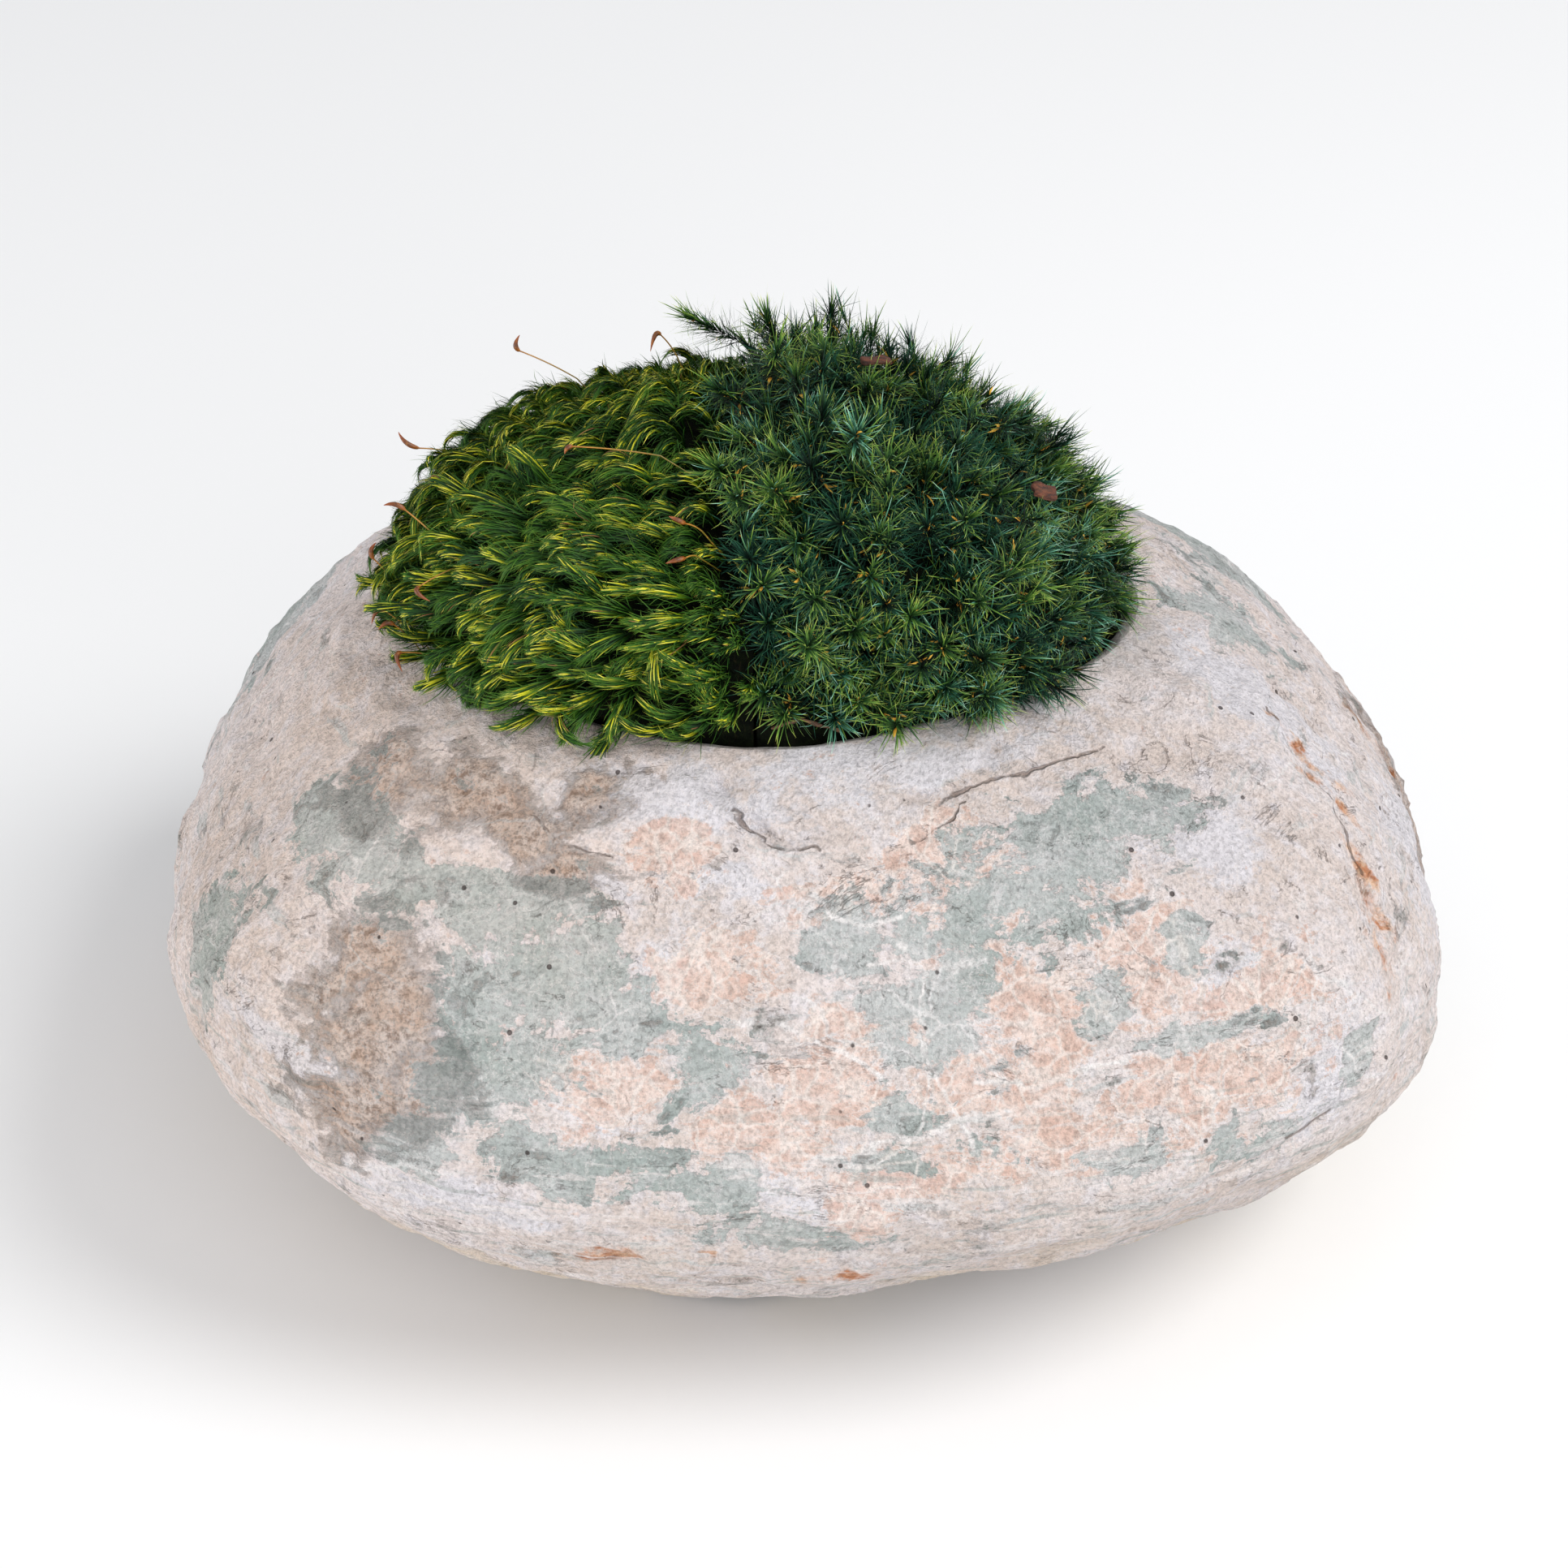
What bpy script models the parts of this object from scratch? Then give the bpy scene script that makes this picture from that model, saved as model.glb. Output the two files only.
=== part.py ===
"""A hollow boulder ornament with a moss planting in its top, as a bench assembly.

The boulder is a cast shell with a planting well. Poured ballast fills the space round the well, and a
screwed base plate closes the underside, on four rubber feet. A plastic liner pot with gravel and soil
drops into the well, and two moss mats lie over the soil: broom moss on the left, dark moss on the right.

Everything is in metres with +Z up. The origin is on the floor, under the middle of the boulder.
"""

import math

import bmesh
import bpy
import numpy as np
from mathutils import Matrix, Quaternion, Vector

# ---- Driving dimensions ----
GAP = 0.0004  # between any two pieces that touch
COLUMNS = 48  # facets round the boulder
FOOT_HEIGHT = 0.003  # of foot under the boulder

# Boulder: an ellipsoid, flattened by soft planes, with a few broad lumps and hollows.
CENTRE = np.array([-0.0032, 0.0033, 0.058])
RADIUS_X, RADIUS_Y, RADIUS_UP, RADIUS_DOWN = 0.156, 0.122, 0.076, 0.062
SOFTNESS = 12.0  # a higher power makes sharper edges between the planes
# Azimuth (0 is +X, -90 the front) and elevation in degrees, then the plane's distance from CENTRE.
PLANES = (
    (-90, 36, 0.100),
    (-90, -40, 0.101),
    (180, 42, 0.101),
    (180, -5, 0.131),
    (210, -35, 0.109),
    (-62, -48, 0.098),
    (-32, -25, 0.155),
    (10, 42, 0.108),
    (-5, 2, 0.136),
    (90, 30, 0.102),
    (90, -10, 0.112),
    (0, 90, 0.071),
    (0, -40, 0.134),
    (-120, -35, 0.130),
)
# Azimuth, elevation, angular width in degrees, then height in metres.
LUMPS = (
    (-62, -44, 14, -0.0105),
    (-28, -34, 14, 0.007),
    (178, 20, 16, 0.002),
    (-97, -46, 18, 0.007),
    (160, -40, 18, 0.003),
    (6, 18, 14, 0.002),
    (-90, 42, 16, -0.002),
    (70, 40, 20, -0.004),
    (150, 50, 20, -0.003),
)

# Shell walls
WALL = 0.010
WELL_WALL = 0.006
WELL_CENTRE = np.array([-0.004, 0.0028])
WELL_X, WELL_Y = 0.066, 0.0516  # at the lip
WELL_TAPER = 0.84  # floor size over lip size
WELL_FLOOR_Z = 0.036
WELL_WAIST_Z = 0.070  # a ring of the well's outer wall on the way down
WELL_HIGH_Z = 0.080  # a ring of its inner wall and of the liner
CAVITY_TOP = 0.108  # where the cavity meets the well's wall
LIP = 0.004  # rounding at the mouth
SPOUT_RADIUS, BORE_RADIUS = 0.011, 0.006
PLUG_FLANGE, PLUG_FLANGE_HEIGHT, PLUG_TOP_Z = 0.009, 0.0018, 0.024

# Base
PLATE = 0.005
RIM = 0.006  # shell left outside the base plate
LEDGE = 0.011
LEDGE_HEIGHT = 0.013
SCREW_ANGLES = (0, 90, 180, 268)
SCREW_SHANK, SCREW_HEAD, SCREW_LENGTH = 0.0015, 0.003, 0.013
SCREW_HEAD_HEIGHT = 0.002
FOOT_SPOTS = ((0.032, 0.021), (-0.033, 0.021), (-0.033, -0.020), (0.030, -0.018))
FOOT_RADIUS, FOOT_STEM, FOOT_SEAT = 0.007, 0.0025, 0.0015

# Planting
LINER_WALL = 0.0016
LINER_CLEARANCE = 0.0025
LINER_BELOW_LIP = 0.008
LINER_HOLE, LINER_HOLES_X, LINER_HOLES_Y = 0.003, 0.034, 0.026  # radius, then where they are
STRAINER_RADIUS, STRAINER_HEIGHT = 0.012, 0.002
STRAINER_HOLE, STRAINER_HOLES_AWAY = 0.0013, 0.0065
GRAVEL_DEPTH = 0.016
SOIL_RISE = 0.026  # top of the soil mound over the lip
MAT_X, MAT_Y = 0.072, 0.0566  # where the moss ends, outside the lip
MAT_FULLNESS = 0.8  # below 1, a mat is fuller than an ellipsoid
SKIRT = 0.002  # a mat's thickness at its edge
MAT_RISE_BROOM, MAT_RISE_DARK = 0.043, 0.051
SEAM_X = -0.0085
SEAM_WAVE = 0.004
SETA_RADIUS = 0.0003


def aim(azimuth, elevation):
    """The unit vector that points that way."""
    a, e = math.radians(azimuth), math.radians(elevation)
    return np.array([math.cos(a) * math.cos(e), math.sin(a) * math.cos(e), math.sin(e)])


def boulder_radius(directions):
    """How far the boulder's surface is from CENTRE along each unit vector."""
    x, y, z = directions[..., 0], directions[..., 1], directions[..., 2]
    radius_z = np.where(z > 0, RADIUS_UP, RADIUS_DOWN)
    total = np.sqrt((x / RADIUS_X) ** 2 + (y / RADIUS_Y) ** 2 + (z / radius_z) ** 2) ** SOFTNESS
    for azimuth, elevation, distance in PLANES:
        total = total + np.maximum(0.0, directions @ aim(azimuth, elevation) / distance) ** SOFTNESS
    radius = total ** (-1.0 / SOFTNESS)
    for azimuth, elevation, width, height in LUMPS:
        angle = np.degrees(np.arccos(np.clip(directions @ aim(azimuth, elevation), -1.0, 1.0)))
        radius = radius + height * np.exp(-((angle / width) ** 2))
    return radius


def boulder_points(azimuths, polars, inset=0.0):
    """Surface points at those azimuths and polar angles, both in radians, moved in by inset."""
    directions = np.stack(
        [np.sin(polars) * np.cos(azimuths), np.sin(polars) * np.sin(azimuths), np.cos(polars)], axis=-1
    )
    return CENTRE + (boulder_radius(directions) - inset)[..., None] * directions


def polar_where(azimuths, low, high, goes_on, inset=0.0):
    """The polar angle, found by halving, at which goes_on(points) turns from true to false."""
    low, high = np.full(len(azimuths), low), np.full(len(azimuths), high)
    for _ in range(40):
        middle = (low + high) / 2
        on = goes_on(boulder_points(azimuths, middle, inset))
        low, high = np.where(on, middle, low), np.where(on, high, middle)
    return low


def spin():
    """The loop's own angles, one for each column."""
    return np.arange(COLUMNS) * 2 * math.pi / COLUMNS


def well_outline(size_x, size_y, turns=None):
    """Plan points of an ellipse about the well's centre."""
    a = spin() if turns is None else turns
    return WELL_CENTRE + np.stack([size_x * np.cos(a), size_y * np.sin(a)], axis=-1)


def azimuths_of(plan):
    """Azimuths of plan points, seen from the boulder's centre."""
    return np.arctan2(plan[:, 1] - CENTRE[1], plan[:, 0] - CENTRE[0])


def on_top(plan):
    """Polar angles at which the boulder's top surface is over those plan points."""
    reach = np.hypot(plan[:, 0] - CENTRE[0], plan[:, 1] - CENTRE[1])
    return polar_where(
        azimuths_of(plan),
        0.0,
        math.pi / 2,
        lambda p: np.hypot(p[:, 0] - CENTRE[0], p[:, 1] - CENTRE[1]) < reach,
    )


def at_height(plan, z):
    """A ring of points over plan points, at one height or at a height each."""
    return np.column_stack([plan, np.broadcast_to(z, len(plan))])


def toward_axis(ring, distance):
    """Plan points moved towards the boulder's axis."""
    away = ring[:, :2] - CENTRE[:2]
    length = np.linalg.norm(away, axis=1, keepdims=True)
    return CENTRE[:2] + away * (length - distance) / length


# ---- Objects ----


def material(name, colour, roughness, metallic=0.0):
    """A Principled material, made once for each name."""
    if name in bpy.data.materials:
        return bpy.data.materials[name]
    made = bpy.data.materials.new(name)
    made.use_nodes = True
    shader = made.node_tree.nodes["Principled BSDF"]
    shader.inputs["Base Color"].default_value = (*colour, 1.0)
    shader.inputs["Roughness"].default_value = roughness
    shader.inputs["Metallic"].default_value = metallic
    return made


CAST_STONE = ("cast_stone", (0.66, 0.60, 0.56), 0.85)
BALLAST = ("ballast", (0.42, 0.40, 0.37), 0.95)
BASE_PLASTIC = ("base_plastic", (0.09, 0.09, 0.09), 0.5)
RUBBER = ("rubber", (0.03, 0.03, 0.03), 0.8)
STEEL = ("steel", (0.62, 0.62, 0.63), 0.3, 1.0)
LINER_PLASTIC = ("liner_plastic", (0.02, 0.02, 0.02), 0.45)
GRAVEL = ("gravel", (0.38, 0.27, 0.20), 0.9)
SOIL = ("soil", (0.06, 0.04, 0.03), 0.95)
BROOM_MOSS = ("broom_moss", (0.20, 0.32, 0.05), 0.6)
DARK_MOSS = ("dark_moss", (0.04, 0.14, 0.06), 0.6)
SPOROPHYTE = ("sporophyte", (0.30, 0.13, 0.05), 0.5)
BARK = ("bark", (0.22, 0.09, 0.05), 0.8)


def new_object(name, data, finish, smooth_angle=40):
    """Links data as a named object with its finish."""
    data.materials.append(material(*finish))
    made = bpy.data.objects.new(name, data)
    bpy.context.scene.collection.objects.link(made)
    if isinstance(data, bpy.types.Mesh) and smooth_angle:
        data.shade_smooth()
        data.set_sharp_from_angle(angle=math.radians(smooth_angle))
    return made


def loft(name, rings, finish, closed=False):
    """A skin over rings of equal length: joined end to end if closed, and capped at both ends if not."""
    mesh = bpy.data.meshes.new(name)
    build = bmesh.new()
    rows = [[build.verts.new(point) for point in ring] for ring in rings]
    pairs = list(zip(rows, rows[1:]))
    if closed:
        pairs.append((rows[-1], rows[0]))
    for upper, lower in pairs:
        for k in range(len(upper)):
            after = (k + 1) % len(upper)
            build.faces.new((upper[k], upper[after], lower[after], lower[k]))
    if not closed:
        for row in (rows[0], rows[-1]):
            hub = build.verts.new(sum((v.co for v in row), Vector()) / len(row))
            for k in range(len(row)):
                build.faces.new((row[k], row[(k + 1) % len(row)], hub))
    bmesh.ops.recalc_face_normals(build, faces=build.faces)
    build.to_mesh(mesh)
    build.free()
    return new_object(name, mesh, finish)


def turned(name, profile, finish, centre=(0.0, 0.0, 0.0), sides=24):
    """A round piece from (radius, z) points, on a vertical axis through centre."""
    a = np.arange(sides) * 2 * math.pi / sides
    rings = [np.column_stack([r * np.cos(a), r * np.sin(a), np.full(sides, z)]) for r, z in profile]
    made = loft(name, rings, finish)
    made.location = centre
    return made


def cutter(name, radius, low, high, spot, sides=20):
    """A round cutter, not part of the object."""
    made = turned(name, ((radius, low), (radius, high)), RUBBER, (*spot, 0.0), sides)
    made.hide_render = True
    made.display_type = "WIRE"
    return made


def cut(target, tools, operation="DIFFERENCE"):
    """Adds one exact Boolean to target for each tool."""
    for tool in tools:
        modifier = target.modifiers.new(tool.name, "BOOLEAN")
        modifier.operation = operation
        modifier.solver = "EXACT"
        modifier.object = tool


# ---- The boulder ----

LIP_PLAN = well_outline(WELL_X + LIP, WELL_Y + LIP)
AZIMUTHS = azimuths_of(LIP_PLAN)
LIP_POLAR = on_top(LIP_PLAN)
BASE_POLAR = polar_where(AZIMUTHS, 1.7, math.pi - 0.05, lambda p: p[:, 2] > FOOT_HEIGHT)
BASE_RING = boulder_points(AZIMUTHS, BASE_POLAR)
LIP_RING = boulder_points(AZIMUTHS, LIP_POLAR)
PLATE_TOP = FOOT_HEIGHT + PLATE


def base_point(angle, inset):
    """A plan point at that angle, in degrees, inset from the edge of the boulder's flat base."""
    reach = np.interp(
        math.radians(angle),
        np.sort(AZIMUTHS % (2 * math.pi)),
        np.hypot(*(BASE_RING[:, :2] - CENTRE[:2]).T)[np.argsort(AZIMUTHS % (2 * math.pi))],
    )
    return CENTRE[:2] + (reach - inset) * aim(angle, 0)[:2]


SCREW_SPOTS = [base_point(angle, RIM + GAP + LEDGE / 2) for angle in SCREW_ANGLES]
FEET = [CENTRE[:2] + np.array(spot) for spot in FOOT_SPOTS]


def outer_rings(count=14):
    """The boulder's outside, from the lip down to its flat base."""
    return [
        boulder_points(AZIMUTHS, LIP_POLAR + (BASE_POLAR - LIP_POLAR) * step / count)
        for step in range(count + 1)
    ]


def cavity_rings(extra=0.0, count=8):
    """The cavity's outer wall, from just over the ledge up to its ceiling, moved in by extra."""
    floor_z = PLATE_TOP + GAP + LEDGE_HEIGHT + 0.002
    low = polar_where(AZIMUTHS, 1.6, math.pi - 0.1, lambda p: p[:, 2] > floor_z, WALL)
    high = on_top(well_outline(WELL_X + WELL_WALL + WALL, WELL_Y + WELL_WALL + WALL)) + 15 * extra
    polars = [low + (high - low) * step / count for step in range(count + 1)]
    return [boulder_points(AZIMUTHS, polar, WALL + extra) for polar in polars]


def well_size(z):
    """How large the well is at a height, over its size at the lip."""
    share = (z - WELL_FLOOR_Z) / (LIP_RING[:, 2].mean() - WELL_FLOOR_Z)
    return WELL_TAPER + (1 - WELL_TAPER) * share


def well_ring(z, grow=0.0, z_each=None):
    """A ring of the well's wall at one height, grown outwards. z_each gives each column its own height."""
    size = well_size(z)
    plan = well_outline(WELL_X * size + grow, WELL_Y * size + grow)
    return at_height(plan, z if z_each is None else z_each)


def lip_rings(steps=3):
    """The mouth's rounding, from the well's wall out to the boulder's surface."""
    rings = []
    for step in range(steps):
        turn = math.pi / 2 * step / steps
        plan = well_outline(WELL_X + LIP * (1 - math.cos(turn)), WELL_Y + LIP * (1 - math.cos(turn)))
        rings.append(at_height(plan, LIP_RING[:, 2] - LIP * (1 - math.sin(turn))))
    return rings


def boulder_shell():
    """Walls, lip, well and drain spout as one casting, open underneath and at the drain."""
    ledge_z = PLATE_TOP + GAP
    under_floor = WELL_FLOOR_Z - WELL_WALL
    rim = toward_axis(BASE_RING, RIM)
    ledge = toward_axis(BASE_RING, RIM + LEDGE)
    round_plan = well_outline(1.0, 1.0) - WELL_CENTRE
    rings = outer_rings()
    rings.append(at_height(rim, FOOT_HEIGHT))
    rings.append(at_height(rim, ledge_z))
    rings.append(at_height(ledge, ledge_z))
    rings.append(at_height(ledge, ledge_z + LEDGE_HEIGHT))
    rings += cavity_rings()
    rings.append(well_ring(CAVITY_TOP, WELL_WALL))
    rings.append(well_ring(WELL_WAIST_Z, WELL_WALL))
    rings.append(well_ring(under_floor, WELL_WALL))
    rings.append(at_height(WELL_CENTRE + SPOUT_RADIUS * round_plan, under_floor))
    rings.append(at_height(WELL_CENTRE + SPOUT_RADIUS * round_plan, ledge_z))
    rings.append(at_height(WELL_CENTRE + BORE_RADIUS * round_plan, ledge_z))
    rings.append(at_height(WELL_CENTRE + BORE_RADIUS * round_plan, WELL_FLOOR_Z))
    rings.append(well_ring(WELL_FLOOR_Z, -0.003))
    rings.append(well_ring(WELL_FLOOR_Z + 0.003))
    rings.append(well_ring(WELL_HIGH_Z))
    rings += lip_rings()
    shell = loft("boulder_shell", rings, CAST_STONE, closed=True)
    pilot = SCREW_SHANK + GAP
    reach = FOOT_HEIGHT + SCREW_HEAD_HEIGHT + SCREW_LENGTH + 0.001
    cut(shell, [cutter(f"pilot_{i}", pilot, 0.0, reach, p, 12) for i, p in enumerate(SCREW_SPOTS)])
    return shell


def ballast_core():
    """The poured fill round the well: it follows every cavity wall and ends level over the base plate."""
    slack = 2 * GAP
    low = PLATE_TOP + 0.003
    ledge = toward_axis(BASE_RING, RIM + LEDGE + slack)
    spout = WELL_CENTRE + (SPOUT_RADIUS + slack) * (well_outline(1.0, 1.0) - WELL_CENTRE)
    under_floor = WELL_FLOOR_Z - WELL_WALL - slack
    rings = [
        at_height(spout, low),
        at_height(ledge, low),
        at_height(ledge, PLATE_TOP + GAP + LEDGE_HEIGHT + slack),
    ]
    rings += cavity_rings(slack)
    rings.append(well_ring(CAVITY_TOP - slack, WELL_WALL + slack))
    rings.append(well_ring(WELL_WAIST_Z, WELL_WALL + slack))
    rings.append(well_ring(under_floor, WELL_WALL + slack))
    rings.append(at_height(spout, under_floor))
    return loft("ballast_core", rings, BALLAST, closed=True)


def base_plate():
    """Closes the underside, with seats for the screws, the feet and the drain plug."""
    edge = toward_axis(BASE_RING, RIM + GAP)
    hole = WELL_CENTRE + (BORE_RADIUS * (well_outline(1.0, 1.0) - WELL_CENTRE))
    rings = [
        at_height(hole, FOOT_HEIGHT + 0.0003),
        at_height(edge, FOOT_HEIGHT + 0.0003),
        at_height(edge, PLATE_TOP),
        at_height(hole, PLATE_TOP),
    ]
    plate = loft("base_plate", rings, BASE_PLASTIC, closed=True)
    seats = [cutter("plug_seat", PLUG_FLANGE + 0.0006, 0.0, FOOT_HEIGHT + 0.0025, WELL_CENTRE)]
    for i, spot in enumerate(SCREW_SPOTS):
        seats.append(cutter(f"screw_hole_{i}", SCREW_SHANK + GAP, 0.0, 0.02, spot, 12))
        seats.append(cutter(f"screw_seat_{i}", SCREW_HEAD + GAP, 0.0, FOOT_HEIGHT + 0.0026, spot, 16))
    for i, spot in enumerate(FEET):
        seats.append(cutter(f"foot_hole_{i}", FOOT_STEM + GAP, 0.0, 0.02, spot, 12))
        seats.append(cutter(f"foot_seat_{i}", FOOT_RADIUS + GAP, 0.0, FOOT_HEIGHT + FOOT_SEAT, spot))
    cut(plate, seats)
    return plate


def base_screw(index, spot):
    """A pan-head screw: the head is sunk in the plate and the shank runs into the shell's ledge."""
    low = FOOT_HEIGHT + 0.0002
    high = low + SCREW_HEAD_HEIGHT
    profile = (
        (SCREW_HEAD * 0.7, low),
        (SCREW_HEAD, low + 0.0008),
        (SCREW_HEAD, high),
        (SCREW_SHANK, high),
        (SCREW_SHANK, high + SCREW_LENGTH - 0.003),
        (SCREW_SHANK * 0.3, high + SCREW_LENGTH - 0.001),
    )
    return turned(f"base_screw_{index}", profile, STEEL, (*spot, 0.0), 12)


def foot(index, spot):
    """A rubber foot: the pad sits in the plate's seat, and its stem goes up through the plate."""
    seat = FOOT_HEIGHT + FOOT_SEAT - GAP
    profile = (
        (FOOT_RADIUS - 0.0008, 0.0),
        (FOOT_RADIUS, 0.0008),
        (FOOT_RADIUS, seat),
        (FOOT_STEM, seat),
        (FOOT_STEM, PLATE_TOP + 0.001),
        (FOOT_STEM - 0.001, PLATE_TOP + 0.002),
    )
    return turned(f"foot_{index}", profile, RUBBER, (*spot, 0.0), 20)


def drain_plug():
    """A rubber bung in the drain spout, pushed in from underneath, with a flange in the plate's seat."""
    flange = FOOT_HEIGHT + 0.0003
    profile = (
        (PLUG_FLANGE - 0.001, flange),
        (PLUG_FLANGE, flange + 0.0005),
        (PLUG_FLANGE, flange + PLUG_FLANGE_HEIGHT),
        (BORE_RADIUS - GAP, flange + PLUG_FLANGE_HEIGHT),
        (BORE_RADIUS - GAP, PLUG_TOP_Z - 0.004),
        (BORE_RADIUS - 0.0015, PLUG_TOP_Z),
    )
    return turned("drain_plug", profile, RUBBER, (*WELL_CENTRE, 0.0), 20)


def drain_strainer():
    """A slotted disc on the well's floor that keeps grit out of the drain."""
    low = WELL_FLOOR_Z + GAP
    profile = ((STRAINER_RADIUS, low), (STRAINER_RADIUS, low + STRAINER_HEIGHT))
    strainer = turned("drain_strainer", profile, LINER_PLASTIC, (*WELL_CENTRE, 0.0), 24)
    holes = []
    for i in range(7):
        away = 0.0 if i == 0 else STRAINER_HOLES_AWAY
        spot = WELL_CENTRE + away * aim(60 * i, 0)[:2]
        holes.append(cutter(f"strainer_hole_{i}", STRAINER_HOLE, 0.0, 0.1, spot, 8))
    cut(strainer, holes)
    return strainer


# ---- The planting ----

LIP_Z = float(LIP_RING[:, 2].mean())
LINER_FLOOR = WELL_FLOOR_Z + STRAINER_HEIGHT + 2 * GAP
LINER_TOP = float(LIP_RING[:, 2].min()) - LINER_BELOW_LIP
SOIL_EDGE = LINER_TOP - 0.001
SOIL_TOP = LIP_Z + SOIL_RISE
SOIL_REACH = tuple(
    size * well_size(SOIL_EDGE) - LINER_CLEARANCE - LINER_WALL - GAP for size in (WELL_X, WELL_Y)
)


def liner_ring(z, inset=0.0):
    """A ring of the liner pot's outside at a height."""
    return well_ring(z, -LINER_CLEARANCE - inset)


def liner_pot():
    """The lift-out plastic pot: tapered, with a rolled rim and drain holes."""
    inside = LINER_WALL
    rings = [
        liner_ring(LINER_FLOOR, 0.004),
        liner_ring(LINER_FLOOR + 0.003),
        liner_ring(WELL_HIGH_Z),
        liner_ring(LINER_TOP - 0.003),
        liner_ring(LINER_TOP - 0.003, -0.0012),
        liner_ring(LINER_TOP, -0.0012),
        liner_ring(LINER_TOP, inside),
        liner_ring(WELL_HIGH_Z, inside),
        liner_ring(LINER_FLOOR + LINER_WALL + 0.002, inside),
        liner_ring(LINER_FLOOR + LINER_WALL, 0.005),
    ]
    pot = loft("liner_pot", rings, LINER_PLASTIC)
    holes = []
    for i in range(6):
        spot = WELL_CENTRE + np.array([LINER_HOLES_X, LINER_HOLES_Y]) * aim(60 * i + 17, 0)[:2]
        holes.append(cutter(f"liner_hole_{i}", LINER_HOLE, LINER_FLOOR - 0.002, LINER_FLOOR + 0.003, spot, 10))
    cut(pot, holes)
    return pot


def drainage_gravel():
    """The layer of gravel in the bottom of the liner, with an uneven top."""
    low = LINER_FLOOR + LINER_WALL + GAP
    inset = LINER_WALL + GAP
    top = low + GRAVEL_DEPTH + 0.0008 * np.sin(spin() * 5)
    high = low + GRAVEL_DEPTH
    rings = [
        liner_ring(low, 0.0055),
        liner_ring(low + 0.0025, inset),
        liner_ring(high - 0.002, inset),
        well_ring(high, -LINER_CLEARANCE - inset - 0.001, top),
    ]
    return loft("drainage_gravel", rings, GRAVEL)


def mound(reach, rise, foot_z, share):
    """A ring of a domed mound: share runs from 0 at its edge to 1 at its top."""
    out = math.cos(share * math.pi / 2)
    up = math.sin(share * math.pi / 2) ** 0.9
    return at_height(well_outline(reach[0] * out, reach[1] * out), foot_z + rise * up)


def growing_medium():
    """Soil on the gravel, mounded up under the moss."""
    low = LINER_FLOOR + LINER_WALL + GAP + GRAVEL_DEPTH + 0.0015
    inset = LINER_WALL + GAP
    rings = [liner_ring(low, inset), liner_ring(0.090, inset)]
    for share in (0, 0.15, 0.3, 0.45, 0.6, 0.75, 0.9):
        rings.append(mound(SOIL_REACH, SOIL_TOP - SOIL_EDGE, SOIL_EDGE, share))
    return loft("growing_medium", rings, SOIL)


def moss_blanket(name, rise, finish):
    """A whole moss dome over the soil: leafy outside, bare underside, and a skirt over the lip."""
    skirt_plan = well_outline(MAT_X, MAT_Y)
    skirt_z = boulder_points(azimuths_of(skirt_plan), on_top(skirt_plan))[:, 2] + GAP
    outside = []
    for share in (0.92, 0.78, 0.64, 0.50, 0.36, 0.22, 0.10):
        out, up = math.cos(share * math.pi / 2), math.sin(share * math.pi / 2) ** MAT_FULLNESS
        foot_z = skirt_z + SKIRT
        height = foot_z + (LIP_Z + rise - foot_z) * up
        outside.append(at_height(well_outline(MAT_X * out, MAT_Y * out), height))
    brim = [
        at_height(skirt_plan, skirt_z + SKIRT),
        at_height(well_outline(MAT_X - 0.001, MAT_Y - 0.001), skirt_z + 2 * GAP),
        at_height(LIP_PLAN, LIP_RING[:, 2] + 3 * GAP),
        at_height(well_outline(WELL_X - LIP, WELL_Y - LIP), LIP_RING[:, 2] + 3 * GAP),
    ]
    reach = (SOIL_REACH[0] + GAP, SOIL_REACH[1] + GAP)
    over_soil = [
        mound(reach, SOIL_TOP - SOIL_EDGE + 2 * GAP, SOIL_EDGE + GAP, share)
        for share in (0.20, 0.35, 0.5, 0.65, 0.8, 0.93)
    ]
    return loft(name, outside + brim + over_soil, finish)


def moss_side(name, side):
    """The region that one mat fills, up to a wavy seam. side is -1 for the left and 1 for the right."""
    steps = 12
    far = WELL_CENTRE[0] + side * 0.1
    seam = []
    for step in range(steps + 1):
        y = -0.08 + 0.16 * step / steps
        seam.append((SEAM_X + SEAM_WAVE * math.sin(y * 70.0) + side * GAP, y))
    outline = [*seam, (far, 0.08), (far, -0.08)]
    rings = [[(x, y, z) for x, y in outline] for z in (0.05, 0.25)]
    made = loft(name, rings, RUBBER)
    made.hide_render = True
    made.display_type = "WIRE"
    return made


def moss_mat(name, side, rise, finish):
    """One of the two mats: its side of a moss blanket."""
    mat = moss_blanket(name, rise, finish)
    cut(mat, [moss_side(f"{name}_side", side)], "INTERSECT")
    return mat


def mat_height(x, y, rise):
    """The height of a mat's outside over a plan point."""
    away = np.array([(x - WELL_CENTRE[0]) / MAT_X, (y - WELL_CENTRE[1]) / MAT_Y])
    out = min(1.0, float(np.hypot(*away)))
    edge = WELL_CENTRE + away / max(out, 1e-6) * (MAT_X, MAT_Y)
    foot_z = boulder_points(azimuths_of(edge[None]), on_top(edge[None]))[0, 2] + SKIRT + GAP
    up = math.sqrt(1.0 - out**2) ** MAT_FULLNESS
    return foot_z + (LIP_Z + rise - foot_z) * up


def tube(name, points, depth, factors, finish, resolution=0):
    """A thin stalk along points, with a factor on its radius at each."""
    curve = bpy.data.curves.new(name, "CURVE")
    curve.dimensions = "3D"
    curve.bevel_depth = depth
    curve.bevel_resolution = resolution
    curve.use_fill_caps = True
    spline = curve.splines.new("POLY")
    spline.points.add(len(points) - 1)
    for spot, point, factor in zip(spline.points, points, factors):
        spot.co = (*point, 1.0)
        spot.radius = factor
    return new_object(name, curve, finish)


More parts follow.
